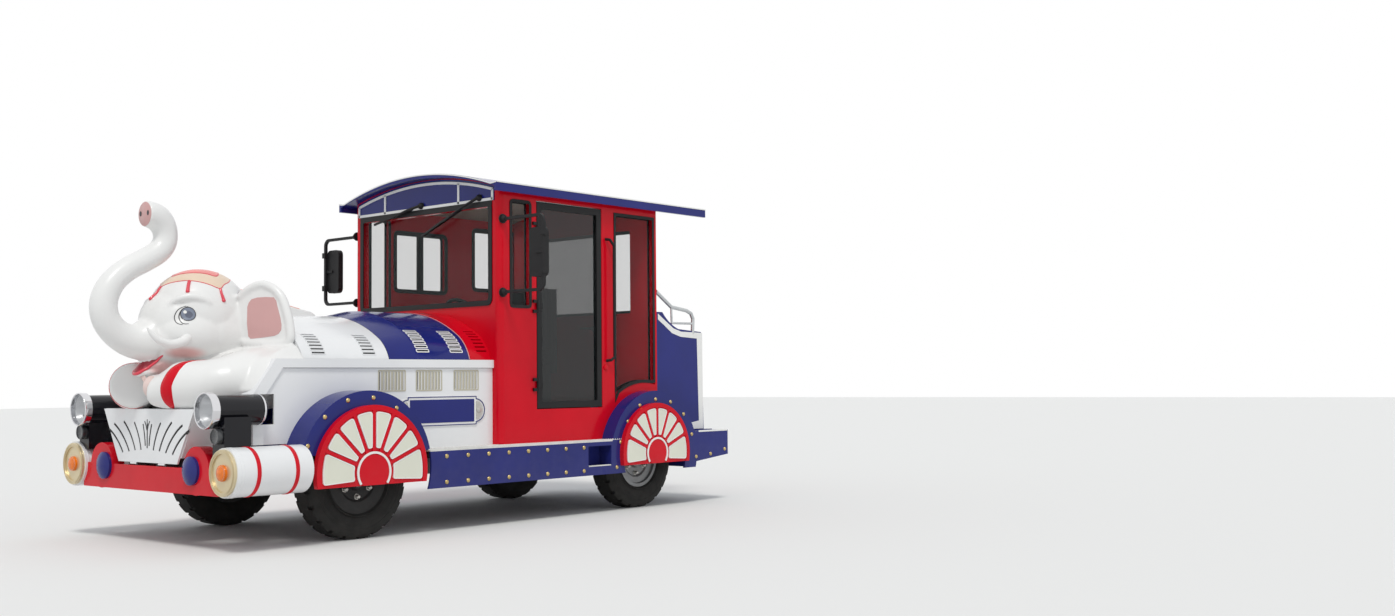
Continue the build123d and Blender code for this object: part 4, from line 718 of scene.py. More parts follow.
def patch(shape, outline, lift=1.4, rings=7, middle=None):
    """A thin painted skin inside an outline of places in metres."""
    centre = middle if middle else sum(outline, Vector()) / len(outline)
    rows = []
    for j in range(1, rings + 1):
        rows.append([shape.verts.new(on_skin(centre.lerp(p, j / rings), lift)[0]) for p in outline])
    rows.append([shape.verts.new(on_skin(p, -2.0)[0]) for p in outline])
    hub = shape.verts.new(on_skin(centre, lift)[0])
    count = len(outline)
    for k in range(count):
        shape.faces.new((hub, rows[0][k], rows[0][(k + 1) % count]))
    for inner, outer in zip(rows, rows[1:]):
        for k in range(count):
            n = (k + 1) % count
            shape.faces.new((inner[k], outer[k], outer[n], inner[n]))


def ribbon(shape, line, lift=1.6, steps=5):
    """A painted line on the clay; each point is (station, y, height, width) in mm."""
    points = curve_points(line, steps)
    spots = [on_skin(at(s, y, z), 0) for s, y, z, w in points]
    rows = []
    for i, (spot, out) in enumerate(spots):
        run = (spots[min(i + 1, len(spots) - 1)][0] - spots[max(i - 1, 0)][0]).normalized()
        wide = out.cross(run).normalized() * points[i][3] / 2 * MM
        rows.append([shape.verts.new(on_skin(spot + wide * d, up)[0])
                     for d, up in ((-1.15, -2.0), (-1, lift), (-0.33, lift), (0.33, lift), (1, lift), (1.15, -2.0))])
    for one, two in zip(rows, rows[1:]):
        for k in range(5):
            shape.faces.new((one[k], one[k + 1], two[k + 1], two[k]))


def both_sides(points):
    """The same places for the left side and, mirrored, for the right side."""
    return [[(p[0], side * p[1], *p[2:]) for p in points] for side in (1, -1)]


print("skin of", len(figure.data.polygons), "faces")

# %% [markdown]
# The headcloth lies over the crown like a folded napkin: cream at the edge, salmon in the middle,
# with a thin dark hem and a short red tassel at each tip.

# %% Headcloth and tassels
CLOTH = [(936, 0, 1682), (914, 41, 1695), (879, 95, 1709), (820, 153, 1715), (764, 197, 1706), (714, 225, 1689),
         (654, 246, 1666), (612, 222, 1694), (556, 185, 1716), (500, 110, 1742), (462, 0, 1752)]
FIELD = [(858, 0, 1750), (813, 54, 1766), (762, 98, 1772), (696, 137, 1768), (639, 163, 1752), (590, 110, 1768),
         (548, 0, 1778)]
cloth, field, hem, tassels = bmesh.new(), bmesh.new(), bmesh.new(), bmesh.new()


def across(half):
    """A whole outline from its left half; both ends lie on the middle line."""
    return half + [(s, -y, z) for s, y, z in reversed(half[1:-1])]


patch(cloth, even_loop(across(CLOTH)), 1.6, 14, at(700, 0, 1800))
patch(field, even_loop(across(FIELD)), 3.0, 10, at(700, 0, 1804))
for half in both_sides(CLOTH):
    ribbon(hem, [(*p, 5) for p in half], 2.2)
for half in both_sides(FIELD):
    ribbon(hem, [(*p, 9) for p in half], 3.8)
TASSELS = [[(938, 0, 1680, 22), (966, 0, 1644, 24), (1002, 0, 1594, 28)],
           [(822, 157, 1711, 26), (842, 179, 1676, 27), (856, 197, 1642, 30)],
           [(653, 246, 1666, 20), (654, 265, 1629, 22), (648, 281, 1586, 28)]]
for number, line in enumerate(TASSELS):
    for one in (both_sides(line) if number else [line]):
        smooth = curve_points(one, 5)
        spots = [on_skin(at(s, y, z), 2)[0] for s, y, z, w in smooth]
        tube(tassels, spots, [w * 0.42 * MM for s, y, z, w in smooth], 12)
        ball(tassels, spots[-1], (0.0135, 0.0135, 0.0125), 8)
piece("headcloth", cloth, peach_cloth, sharp=60)
piece("headcloth_field", field, salmon_paint, sharp=60)
piece("headcloth_hem", hem, rosy_line, sharp=60)
piece("headcloth_tassels", tassels, rosy_line, sharp=60)
print("headcloth ready")

# %% [markdown]
# A plain ribbon runs back from the cloth along the crest of the neck and ends under the windscreen.

# %% Back ribbon
back_ribbon, ribbon_edge = bmesh.new(), bmesh.new()
CREST = [(470, 0, 1752), (400, 0, 1705), (300, 0, 1672), (200, 0, 1650), (100, 0, 1622), (0, 0, 1590), (-90, 0, 1572)]
ribbon(ribbon_edge, [(*p, 118) for p in CREST], 1.6)
ribbon(back_ribbon, [(*p, 84) for p in CREST], 3.0)
piece("back_ribbon_edge", ribbon_edge, peach_cloth, sharp=60)
piece("back_ribbon", back_ribbon, salmon_paint, sharp=60)

# %% [markdown]
# The eyes are flat painted discs under clear varnish: a blue-grey iris, a small white dot of painted
# highlight where the glint of light sits, a dark rim and two thin lines in front that draw the lid.

# %% Eyes
irises, painted_highlight_dots, lines, pupils = bmesh.new(), bmesh.new(), bmesh.new(), bmesh.new()
LID_LINES = [[(880, 223, 1545, 3), (907, 212, 1535, 4), (932, 203, 1512, 5), (948, 200, 1476, 5), (948, 208, 1446, 5),
              (938, 225, 1428, 4), (916, 243, 1421, 3)],
             [(868, 226, 1541, 4), (896, 214, 1527, 5), (917, 213, 1502, 6), (926, 215, 1472, 6), (923, 227, 1446, 5),
              (911, 243, 1428, 4), (882, 258, 1427, 3)]]


def disc(shape, centre, radius, lift, tall=1.0):
    """A round painted spot; radius in mm."""
    middle, out = on_skin(at(*centre), 0)
    upward = (Vector((0, 0, 1)) - out * out.z).normalized()
    sideways = upward.cross(out)
    angles = [2 * math.pi * k / 40 for k in range(40)]
    patch(shape, [middle + (sideways * math.cos(a) + upward * math.sin(a) * tall) * radius * MM for a in angles],
          lift, 5)
    return [middle + (sideways * math.cos(a) + upward * math.sin(a) * tall) * radius * MM for a in angles]


for side in (1, -1):
    rim_line = disc(irises, (872, 232 * side, 1490), 47, 1.6)
    disc(pupils, (868, 234 * side, 1487), 24, 2.2)
    # A small white dot on each iris: a painted highlight where the glint of light sits.
    disc(painted_highlight_dots, (889, 224 * side, 1504), 11, 3.4)
    ring = rim_line + rim_line[:2]
    spots = [on_skin(p, 0)[0] for p in ring]
    ribbon(lines, [((p.x - AXLE_X) / MM, p.y / MM, p.z / MM, 4.5) for p in spots], 2.4, 1)
for line in LID_LINES:
    for one in both_sides(line):
        ribbon(lines, one, 1.8)
piece("eye_irises", irises, iris_grey, sharp=60)
piece("eye_pupils", pupils, pupil_grey, sharp=60)
piece("eye_painted_highlights", painted_highlight_dots, white_edge, sharp=60)
piece("eye_lines", lines, ink, sharp=60)
print("eyes ready")

# %% [markdown]
# The mouth is a scoop under the trunk with a rolled red lip. The lip is a real bead, so it catches
# the light, and the inside is a darker red skin.

# %% Mouth
mouth, lip = bmesh.new(), bmesh.new()
LIP = [(968, 106, 1236, 5), (984, 102, 1216, 7), (1012, 92, 1186, 8), (1048, 72, 1152, 9), (1080, 50, 1126, 10),
       (1104, 26, 1108, 10), (1112, 0, 1104, 10)]
lip_line = curve_points(LIP + [(s, -y, z, r) for s, y, z, r in reversed(LIP[:-1])], 4)
tube(lip, [on_skin(at(s, y, z), 1)[0].lerp(at(s, y, z), 0.4) for s, y, z, r in lip_line], [r * MM for s, y, z, r in lip_line], 12)
INSIDE = [(972, 107, 1234), (1012, 94, 1190), (1048, 74, 1160), (1080, 52, 1134), (1104, 26, 1114), (1112, 0, 1110)]
rim_loop = INSIDE + [(s, -y, z) for s, y, z in reversed(INSIDE[:-1])]
inside = even_loop(rim_loop + [(985, -60, 1218), (985, 0, 1212), (985, 60, 1218)], 9)
patch(mouth, inside, 1.6, 9, at(1050, 0, 1152))
piece("mouth_inside", mouth, deep_red, sharp=60)
piece("mouth_lip", lip, rosy_line, sharp=60)

# %% [markdown]
# ## Ears, anklets and trunk tip
# The ear lining is a flat pink field well inside the rolled rim. The anklet is a broad red band on
# the outside of the foot whose upper end thins out into a line along the top of the leg.

# %% Ear linings
ear_fields = bmesh.new()
EAR_FIELD = [(512, 346, 1545), (507, 355, 1575), (498, 374, 1596), (480, 413, 1606), (454, 474, 1608), (432, 528, 1604),
             (424, 546, 1582), (421, 554, 1548), (413, 578, 1468), (411, 587, 1420), (411, 585, 1387), (418, 566, 1362),
             (431, 536, 1350), (464, 455, 1341), (500, 367, 1334), (508, 350, 1350), (512, 346, 1440)]
for half in both_sides(EAR_FIELD):
    patch(ear_fields, even_loop(half, 14), 2.0, 12)
piece("ear_linings", ear_fields, ear_pink, sharp=60)

# %% Anklets
anklets = bmesh.new()
ANKLET = [(1018, 300, 868, 20), (1040, 318, 885, 46), (1062, 332, 920, 70), (1072, 342, 975, 88), (1074, 350, 1035, 90),
          (1060, 366, 1098, 84), (1022, 372, 1146, 66), (975, 372, 1174, 44), (920, 386, 1186, 24), (862, 402, 1192, 13),
          (806, 420, 1200, 8)]
for one in both_sides(ANKLET):
    ribbon(anklets, one, 2.0, 6)
sole_line = []
for k in range(25):
    a = math.radians(-115 + 9.2 * k)
    sole_line.append((1037 + 142 * math.cos(a) * 0.854, -150 - 142 * math.cos(a) * 0.515, 1030 + 146 * math.sin(a), 9))
ribbon(anklets, sole_line, 2.0, 2)
piece("anklets", anklets, red_gloss, sharp=60)

# %% Trunk tip and toe pads
tip, nostrils, toe_pad = bmesh.new(), bmesh.new(), bmesh.new()
tip_box = max(v.co.x for v in figure.data.vertices if v.co.z > 2.05 and abs(v.co.y) < 0.04)
tip_face = Vector((tip_box, 0, 2.149))
turned(tip, tip_face - Vector((0.006, 0, 0)), (1, 0, 0), [(0, 0.078), (0.004, 0.080), (0.0075, 0.076), (0.0085, 0.0)], 48)
for side in (1, -1):
    spot = tip_face + Vector((0.0022, 0.047 * side, 0.004))
    nostril = [spot + Vector((0, 0.0125 * math.cos(a), 0.0165 * math.sin(a))) for a in
               [2 * math.pi * k / 32 for k in range(32)]]
    slab(nostrils, nostril, Vector((0.0012, 0, 0)))
PAD = [(1078, 30, 1076), (1072, 80, 1082), (1058, 130, 1078), (1044, 168, 1058), (1038, 186, 1022), (1042, 178, 984),
       (1058, 140, 958), (1080, 84, 950), (1094, 44, 968), (1099, 28, 1020), (1092, 24, 1056)]
patch(toe_pad, even_loop(PAD, 9), 2.4, 14, at(1130, 130, 1020))
piece("trunk_tip", tip, ear_pink, sharp=60)
piece("nostrils", nostrils, ink, sharp=60)
piece("toe_pad", toe_pad, soft_pink, sharp=60)
print("figure painted")

# %% [markdown]
# ## Trim of the bonnet
# Punched louvres let the engine's heat out. On the real cover each slot has a rolled lip, painted
# white where it shows against the blue and left in the body colour elsewhere. A thin frame per
# slot, laid on the curve of the vault, gives the lip real depth, so it also reads from the side.

# %% Louvre lips on the vault
HAUNCH_Y, HAUNCH_Z = 461.0, 1102.8
LIPS = [  # first station, last station, radius of the haunch there, finish of the lip
    ("white_front", 152, 276, 285, white_gloss), ("white_rear", -255, -130, 285, white_gloss),
    ("blue_front", -681, -558, 330, white_edge), ("blue_rear", -988, -860, 330, white_edge),
    ("red", -1219, -1098, 330, red_gloss),
]


def on_haunch(station, degrees, radius, side):
    """Place on the rounded shoulder of the bonnet and the way it faces."""
    a = math.radians(degrees)
    place = at(station, side * (HAUNCH_Y + radius * math.cos(a)), HAUNCH_Z + radius * math.sin(a))
    return place, Vector((0, side * math.cos(a), math.sin(a)))


for label, first, last, radius, paint in LIPS:
    lips = bmesh.new()
    for side in (1, -1):
        for k in range(7):
            turn_angle = 28 + 6 * k
            place, out = on_haunch((first + last) / 2, turn_angle, radius - 1.5, side)
            along = Vector((1, 0, 0))
            across = out.cross(along).normalized()
            half_long, half_wide = ((last - first - 24) / 2 + 4) * MM, 10.3 * MM
            frame_line = rounded([place + along * half_long * a + across * half_wide * b
                                  for a, b in ((1, 1), (-1, 1), (-1, -1), (1, -1))], 5 * MM, 3)
            closed_strip(lips, frame_line, 7 * MM, 4.5 * MM, out)
    piece(f"louvre_lips_{label}", lips, paint)
print("louvre lips", len(LIPS), "groups")

# %% Painted shade behind the louvres
# Thin dark sheets just under each slot of the vault are painted shade for the dark inside the bonnet.
louvre_shade_and_roof_lining = bmesh.new()
for label, first, last, radius, paint in LIPS:
    if label == "red":
        continue
    for side in (1, -1):
        for k in range(7):
            place, out = on_haunch((first + last) / 2, 28 + 6 * k, radius - 3, side)
            across = out.cross(Vector((1, 0, 0))).normalized() * 6.9 * MM
            half_long = Vector(((last - first - 23) / 2 * MM, 0, 0))
            slab(louvre_shade_and_roof_lining, [place - half_long - across, place + half_long - across,
                          place + half_long + across, place - half_long + across], -out * 0.002)
# The side slots get the same thin dark sheets, painted shade behind the beige bars.
for side in (1, -1):
    for group in (-435, -756, -1094):
        for k in range(8):
            middle = group + 18 + 28 * k
            slab(louvre_shade_and_roof_lining, [at(middle - 6.5, 797 * side, 984), at(middle + 6.5, 797 * side, 984),
                          at(middle + 6.5, 797 * side, 1111), at(middle - 6.5, 797 * side, 1111)],
                 Vector((0, -0.002 * side, 0)))
piece("louvre_painted_shade", louvre_shade_and_roof_lining, painted_shade_and_seam_dark)

# %% Side louvres: beige bars in a beige frame
side_bars = bmesh.new()
for side in (1, -1):
    out = Vector((0, side, 0))
    for group in (-435, -756, -1094):
        border = rounded([at(group + 4, 800 * side, 978), at(group + 228, 800 * side, 978),
                          at(group + 228, 800 * side, 1117), at(group + 4, 800 * side, 1117)], 6 * MM, 3)
        closed_strip(side_bars, border, 9 * MM, 3 * MM, out)
        for k in range(7):
            middle = group + 18 + 28 * k + 14
            strip(side_bars, [at(middle, 800 * side, 984), at(middle, 800 * side, 1111)], 14 * MM, 3.5 * MM, out)
piece("side_louvre_bars", side_bars, beige_grille)

# %% Seams and edge lines of the bonnet
seams = bmesh.new()
pale_lines = bmesh.new()


def vault_line(shape, station, radius, width, thick, low=2, high=178):
    """A thin band over the vault at one station, from foot to foot."""
    line = []
    crown = radius + 870
    for k in range(61):
        a = math.radians(low + (high - low) * k / 60)
        if math.degrees(a) < 58:
            y, z = HAUNCH_Y + radius * math.cos(a), HAUNCH_Z + radius * math.sin(a)
        elif math.degrees(a) > 122:
            y, z = -HAUNCH_Y + radius * math.cos(a), HAUNCH_Z + radius * math.sin(a)
        else:
            y, z = crown * math.cos(a), 365 + crown * math.sin(a)
        line.append((y, z, a))
    rows = []
    for y, z, a in line:
        out = Vector((0, math.cos(a), math.sin(a)))
        place = at(station, y, z)
        rows.append([shape.verts.new(place + Vector((d * width / 2 * MM, 0, 0)) + out * h * MM)
                     for d, h in ((-1, -1), (1, -1), (1, thick), (-1, thick))])
    for one, two in zip(rows, rows[1:]):
        for k in range(4):
            shape.faces.new((one[k], one[(k + 1) % 4], two[(k + 1) % 4], two[k]))
    shape.faces.new(list(reversed(rows[0])))
    shape.faces.new(rows[-1])


vault_line(pale_lines, -1032, 330, 9, 1.6, 17, 163)
vault_line(seams, -348, 285, 3, 0.6, 17, 163)
for side in (1, -1):
    foot = 735 if side > 0 else -735
    strip(seams, [at(-1222, 776 * side, 1195), at(-352, 776 * side, 1195)], 5 * MM, 1.2 * MM, (0, 0, 1))
    strip(seams, [at(-345, 734 * side, 1195), at(590, 734 * side, 1195)], 5 * MM, 1.2 * MM, (0, 0, 1))
    strip(seams, [at(-1226, 800 * side, 1136), at(560, 800 * side, 1136)], 3 * MM, 0.8 * MM, (0, side, 0))
piece("bonnet_seams", seams, painted_shade_and_seam_dark)
piece("bonnet_pale_line", pale_lines, pink_paint)
print("bonnet trim ready")

# %% [markdown]
# ## Nameplate
# The plate stays blank here. The real one is a blue field in a white surround with a thin blue
# line that follows the plate's stepped ends, and a dull silver half-round boss at each end.

# %% Nameplate
nodes["nameplates"].data.materials.clear()
nodes["nameplates"].data.materials.append(white_edge)
plate_field, plate_line, plate_boss = bmesh.new(), bmesh.new(), bmesh.new()
for side in (1, -1):
    y = 806 * side
    out = Vector((0, side, 0))
    field = rounded([at(s, y, z) for s, z in ((-468, 748), (-1047, 748), (-1047, 912), (-468, 912))], 4 * MM, 2)
    slab(plate_field, field, out * 3 * MM)
    line = [at(-452, y, 930), at(-1066, y, 930), at(-1066, y, 913)]
    line += [at(-1064 - 82 * math.sin(math.radians(a)), y, 830 + 82 * math.cos(math.radians(a)))
             for a in range(4, 180, 8)]
    line += [at(-1066, y, 747), at(-1066, y, 730), at(-452, y, 730), at(-452, y, 747)]
    line += [at(-452 + 82 * math.sin(math.radians(a)), y, 830 - 82 * math.cos(math.radians(a)))
             for a in range(4, 180, 8)]
    line += [at(-452, y, 913)]
    closed_strip(plate_line, line, 6 * MM, 2.5 * MM, out)
    for middle, sign in ((-1066, -1), (-450, 1)):
        rim = [at(middle + sign * 62 * math.sin(math.radians(a)), y, 830 + 66 * math.cos(math.radians(a)))
               for a in range(0, 181, 10)]
        slab(plate_boss, rim, out * 4 * MM)
        turned(plate_boss, at(middle + sign * 24, y + 3 * side, 830), out,
               [(0, 0.021), (0.004, 0.020), (0.007, 0.014), (0.008, 0.0)], 24)
piece("nameplate_field", plate_field, blue_gloss)
piece("nameplate_line", plate_line, blue_gloss)
piece("nameplate_bosses", plate_boss, steel_pale)
print("nameplate ready")

# %% [markdown]
# ## Half-wheel ornaments
# Each wheel arch carries a cut-out of half a paddle wheel: a red rim and red spokes with cream
# fields between them and a white ring around the hub. The fields are thin sheets with rounded
# corners, each with a white painted edge, set into the recess of the red casting.

# %% Ornament fields
fields, field_edges, hub_rings = bmesh.new(), bmesh.new(), bmesh.new()
ORNAMENTS = [(5, 440, "front"), (-2780, 402, "rear")]
for centre, radius, label in ORNAMENTS:
    for side in (1, -1):
        out = Vector((0, side, 0))
        for k in range(8):
            start, stop = 22.5 * k, 22.5 * (k + 1)
            inner, outer = 0.37 * radius, radius - 46
            gap_in, gap_out = math.degrees(19 / inner), math.degrees(19 / outer)
            low_in = start + gap_in if k else -math.degrees(50 / inner)
            low_out = start + gap_out if k else -math.degrees(62 / outer)
            high_in = stop - gap_in if k < 7 else 180 + math.degrees(50 / inner)
            high_out = stop - gap_out if k < 7 else 180 + math.degrees(62 / outer)
            corners = [(inner, low_in), (outer, low_out), (outer, (low_out + high_out) / 2),
                       (outer, high_out), (inner, high_in), (inner, (low_in + high_in) / 2)]
            loop = [at(centre + r * math.cos(math.radians(a)), 1033 * side, 450 + r * math.sin(math.radians(a)))
                    for r, a in corners]
            smooth = rounded(loop, [12 * MM, 18 * MM, 0.5, 18 * MM, 12 * MM, 0.3], 4)
            slab(fields, smooth, out * 8.2 * MM)
            closed_strip(field_edges, smooth, 7 * MM, 9.8 * MM, out)
        hub = at(centre, 1038 * side, 450)
        hub_r = 0.27 * radius
        ring = [hub + Vector(((hub_r + 9) * MM * math.cos(math.radians(a)), 0, (hub_r + 9) * MM * math.sin(math.radians(a))))
                for a in range(-36, 217, 6)]
        strip(hub_rings, ring, 15 * MM, 6 * MM, out)
piece("ornament_fields", fields, cream_panel)
piece("ornament_field_edges", field_edges, white_edge)
piece("ornament_hub_rings", hub_rings, white_edge)
print("ornament fields ready")

# %% [markdown]
# ## Rivets
# Dome-headed brass rivets hold the arches and the skirt. One lathe profile makes them all; the
# rows follow the places read from the real thing, mirrored to the side that isn't seen.

# %% Rivets
ARCH_RIVETS = [(485, 638), (359, 818), (184, 922), (-17, 936), (-205, 864), (-330, 735)]
REAR_RIVETS = [(-2343, 354), (-2388, 549), (-2473, 709), (-2616, 834), (-2804, 880), (-2988, 855),
               (-3152, 751), (-3255, 581), (-3311, 391)]
SKIRT_RIVETS = [(-634 - 192 * k, z) for k in range(8) for z in (344, 522)]
DOME = [(0, 0.0160), (0.002, 0.0158), (0.005, 0.0140), (0.008, 0.0100), (0.0098, 0.0050), (0.0102, 0.0)]
rivets = bmesh.new()
for side in (1, -1):
    for station, z in ARCH_RIVETS + REAR_RIVETS + SKIRT_RIVETS + [(-3500, 406), (-3691, 439)]:
        turned(rivets, at(station, 999.5 * side, z), (0, side, 0), DOME, 20)
piece("brass_rivets", rivets, brass)
print("rivets", 2 * len(ARCH_RIVETS + REAR_RIVETS + SKIRT_RIVETS))

# %% [markdown]
# ## Steps and running boards
# The boards have a white anti-slip edge like a row of small teeth, the step well in the skirt has
# a white tread, and the rear platform's edge is white too.

# %% Treads
teeth = bmesh.new()
for side in (1, -1):
    count = 100
    run = (-470, -2930)
    for k in range(count):
        s = run[0] + (run[1] - run[0]) * k / count
        slab(teeth, [at(s, 1000.5 * side, 570), at(s - 12, 1000.5 * side, 581), at(s - 24, 1000.5 * side, 570)],
             Vector((0, -0.010 * side, 0)))
    for s0, s1, y0, y1, z in ((-2276, -2032, 972, 1001, 372),):
        slab(teeth, [at(s0, y0 * side, z), at(s1, y0 * side, z), at(s1, y1 * side, z), at(s0, y1 * side, z)],
             Vector((0, 0, 0.008)))
piece("board_teeth", teeth, tread_plate)
print("treads ready")

# %% [markdown]
# ## Cylinders, buffers and lamps at the front
# The two drums are dummy steam cylinders: white with two red hoops, a champagne end plate and an
# amber marker lamp in its middle.

# %% Hoops, plates and markers
hoops, ribs, markers, plate_rings = bmesh.new(), bmesh.new(), bmesh.new(), bmesh.new()
for side in (1, -1):
    drum = at(0, 949 * side, 498)
    for station in (890, 622):
        turned(hoops, drum + Vector((station * MM, 0, 0)), (1, 0, 0),
               [(-0.014, 0.1515), (-0.013, 0.1542), (-0.009, 0.1552), (0.009, 0.1552), (0.013, 0.1542), (0.014, 0.1515)], 72, True)
    for station in (1012, 992):
        turned(ribs, drum + Vector((station * MM, 0, 0)), (1, 0, 0),
               [(-0.005, 0.1515), (-0.003, 0.1535), (0.003, 0.1535), (0.005, 0.1515)], 72, True)
    face = drum + Vector((1.053, 0, 0))
    for radius in (134, 126):
        ring = [face + Vector((0.0005, radius * MM * math.cos(a), radius * MM * math.sin(a)))
                for a in [2 * math.pi * k / 72 for k in range(72)]]
        closed_strip(plate_rings, ring, 3 * MM, 1.6 * MM, (1, 0, 0))
    turned(markers, drum + Vector((1.040, 0, 0)), (1, 0, 0),
           [(0, 0.0500), (0.018, 0.0500), (0.024, 0.046), (0.029, 0.034), (0.033, 0.018), (0.034, 0.0)], 40)
piece("cylinder_hoops", hoops, red_gloss)
piece("cylinder_ribs", ribs, white_gloss)
piece("end_plate_rings", plate_rings, champagne)
piece("amber_markers", markers, amber_glass)
print("cylinder trim ready")

# %% [markdown]
# The headlamps are round chromed sealed beams in long black shells. A real one is a mirror bowl
# with a small bulb behind ribbed glass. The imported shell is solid, so a hollow shell of the same
# size takes its place and carries a turned bowl.

# %% Headlamps
shells, bowls, bulbs, rings, fogs = bmesh.new(), bmesh.new(), bmesh.new(), bmesh.new(), bmesh.new()
for side in (1, -1):
    axis = at(0, 805 * side, 873)

    def along(station):
        return axis + Vector((station * MM, 0, 0))

    turned(shells, along(0), (1, 0, 0),
           [(0.950, 0.0), (0.950, 0.020), (0.990, 0.060), (1.030, 0.0955), (1.0395, 0.0960), (1.0400, 0.0945),
            (0.990, 0.0960), (0.900, 0.0962), (0.742, 0.0960), (0.712, 0.0920), (0.702, 0.0850), (0.702, 0.0)], 56)
    slab(shells, [at(s, 790 * side, z) for s, z in ((836, 600), (1019, 600), (1019, 833), (836, 833))],
         Vector((0, 0.130 * side, 0)))
    turned(bowls, along(0), (1, 0, 0),
           [(0.962, 0.0), (0.962, 0.022), (0.972, 0.040), (0.990, 0.062), (1.015, 0.082), (1.040, 0.0955),
            (1.0565, 0.1030), (1.0575, 0.1038), (1.0580, 0.1000), (1.040, 0.0935), (1.015, 0.0795), (0.992, 0.0600),
            (0.974, 0.0380), (0.965, 0.0200), (0.965, 0.0)], 64)
    turned(bulbs, along(0.0), (1, 0, 0),
           [(0.966, 0.0), (0.966, 0.024), (0.985, 0.024), (0.988, 0.018), (1.000, 0.016), (1.004, 0.010), (1.005, 0.0)], 24)
    turned(rings, along(0), (1, 0, 0),
           [(1.0400, 0.0965), (1.0580, 0.1040), (1.0800, 0.1040), (1.0890, 0.1035), (1.0920, 0.1065), (1.0915, 0.1110),
            (1.0860, 0.1135), (1.0700, 0.1135), (1.0690, 0.1120), (1.0420, 0.1120), (1.0400, 0.1105)], 64, True)
    turned(rings, along(0), (1, 0, 0),
           [(0.716, 0.0958), (0.716, 0.0972), (0.722, 0.0978), (0.728, 0.0972), (0.728, 0.0958)], 56, True)
    fog = at(1019, 860 * side, 716)
    turned(fogs, fog, (1, 0, 0), [(0.0, 0.0500), (0.030, 0.0500), (0.033, 0.0470), (0.033, 0.0415), (0.028, 0.0405),
                                 (0.024, 0.0300), (0.022, 0.0)], 40)
lamp_shells = piece("headlamp_shells", shells, black_gloss)
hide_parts("headlamp_bodies")
piece("headlamp_bowls", bowls, reflector)
piece("headlamp_bulbs", bulbs, chrome)
lamp_rings = piece("headlamp_rings", rings, chrome)
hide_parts("headlamp_bezels")
piece("fog_lamp_faces", fogs, fog_grey)
print("headlamps ready")

# %% [markdown]
# ## Wheels
# The front rims are black dished discs with six plated nuts, the rear ones are grey. Each nut is a
# real hexagon with a domed tip, and rides with its own wheel so that it turns with it.

# %% Rim faces of the wheels
WHEELS = [("wheel_front_left", 0, 1, "front_left"), ("wheel_front_right", 0, -1, "front_right"),
          ("wheel_rear_left", -2775, 1, "rear_left"), ("wheel_rear_right", -2775, -1, "rear_right")]
for body, station, side, label in WHEELS:
    low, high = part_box(f"rim_{label}")
    rim_face = (high.y if side > 0 else low.y)
    print(label, "rim from", round(low.y, 4), "to", round(high.y, 4))

# %% Wheel nuts and hub caps
for body, station, side, label in WHEELS:
    track, dish = (775, 62) if "front" in label else (750, 40)
    outer = Vector((0, side, 0))
    nuts = bmesh.new()
    for k in range(6):
        a = math.radians(60 * k + 30)
        spot = at(station + 110 * math.cos(a), side * (track + dish + 3), 390 + 110 * math.sin(a))
        turned(nuts, spot, outer, [(0, 0.0215), (0.003, 0.0215), (0.004, 0.0165), (0.022, 0.0165),
                                   (0.0245, 0.0135), (0.030, 0.0095), (0.032, 0.0)], 6)
    hub = at(station, side * (track + dish + 30), 390)
    turned(nuts, hub, outer, [(0, 0.046), (0.006, 0.044), (0.016, 0.038), (0.021, 0.024), (0.022, 0.0)], 32)
    valve = [at(station + 168, side * (track + dish + 6), 390), at(station + 176, side * (track + dish + 24), 390),
             at(station + 178, side * (track + dish + 40), 390)]
    tube(nuts, valve, 0.004, 8)
    piece(f"wheel_nuts_{label}", nuts, steel_pale, body)
    beads = bmesh.new()
    for radius, width in ((238, 5), (300, 3), (330, 3)):
        bulge = 98 if radius < 260 else 100.5
        centre = at(station, side * (track + bulge - (radius - 238) * 0.02), 390)
        ring = [centre + Vector((radius * MM * math.cos(a), 0, radius * MM * math.sin(a)))
                for a in [2 * math.pi * k / 72 for k in range(72)]]
        rows = []
        for place in ring:
            away = (place - centre).normalized()
            rows.append([beads.verts.new(place + away * width * MM), beads.verts.new(place + outer * width * 0.7 * MM),
                         beads.verts.new(place - away * width * MM), beads.verts.new(place - outer * width * MM)])
        for k in range(72):
            one, two = rows[k], rows[(k + 1) % 72]
            for j in range(4):
                beads.faces.new((one[j], one[(j + 1) % 4], two[(j + 1) % 4], two[j]))
    piece(f"tyre_beads_{label}", beads, rubber, body)
    if "rear" in label:
        # The rear rims' holes are dark discs on the rim face: painted shade for the dark inside the real holes.
        hole_painted_shades = bmesh.new()
        for k in range(8):
            a = math.radians(45 * k + 22.5)
            turned(hole_painted_shades, at(station + 158 * math.cos(a), side * (track + dish - 1), 390 + 158 * math.sin(a)), outer,
                   [(0, 0.018), (0.010, 0.018), (0.0105, 0.0)], 24)
        piece(f"rim_hole_painted_shade_{label}", hole_painted_shades, painted_shade_and_seam_dark, body)
print("wheels dressed")

# %% [markdown]
# ## Cab front
# The windscreen sits in a black rubber frame. Above it a navy fascia fills the arch of the roof,
# with a white lattice of flat bars, and two wipers hang from pivots on the fascia's lower rail.

# %% Windscreen frame, fascia and lattice
screen_frame, fascia, lattice = bmesh.new(), bmesh.new(), bmesh.new()
FRONT_S = -1229
forward = Vector((1, 0, 0))
border = rounded([at(FRONT_S, y, z) for y, z in ((-782, 1619), (782, 1619), (782, 2357), (-782, 2357))],
                 40 * MM, 5)
closed_strip(screen_frame, border, 40 * MM, 7 * MM, forward)
strip(screen_frame, [at(FRONT_S, -802, 2366), at(FRONT_S, 802, 2366)], 40 * MM, 6 * MM, forward)


def arch(y, middle):
    """Height of a line that follows the roof's arch; middle is its height at the centre line."""
    return middle - 131 * (y / 890) ** 2


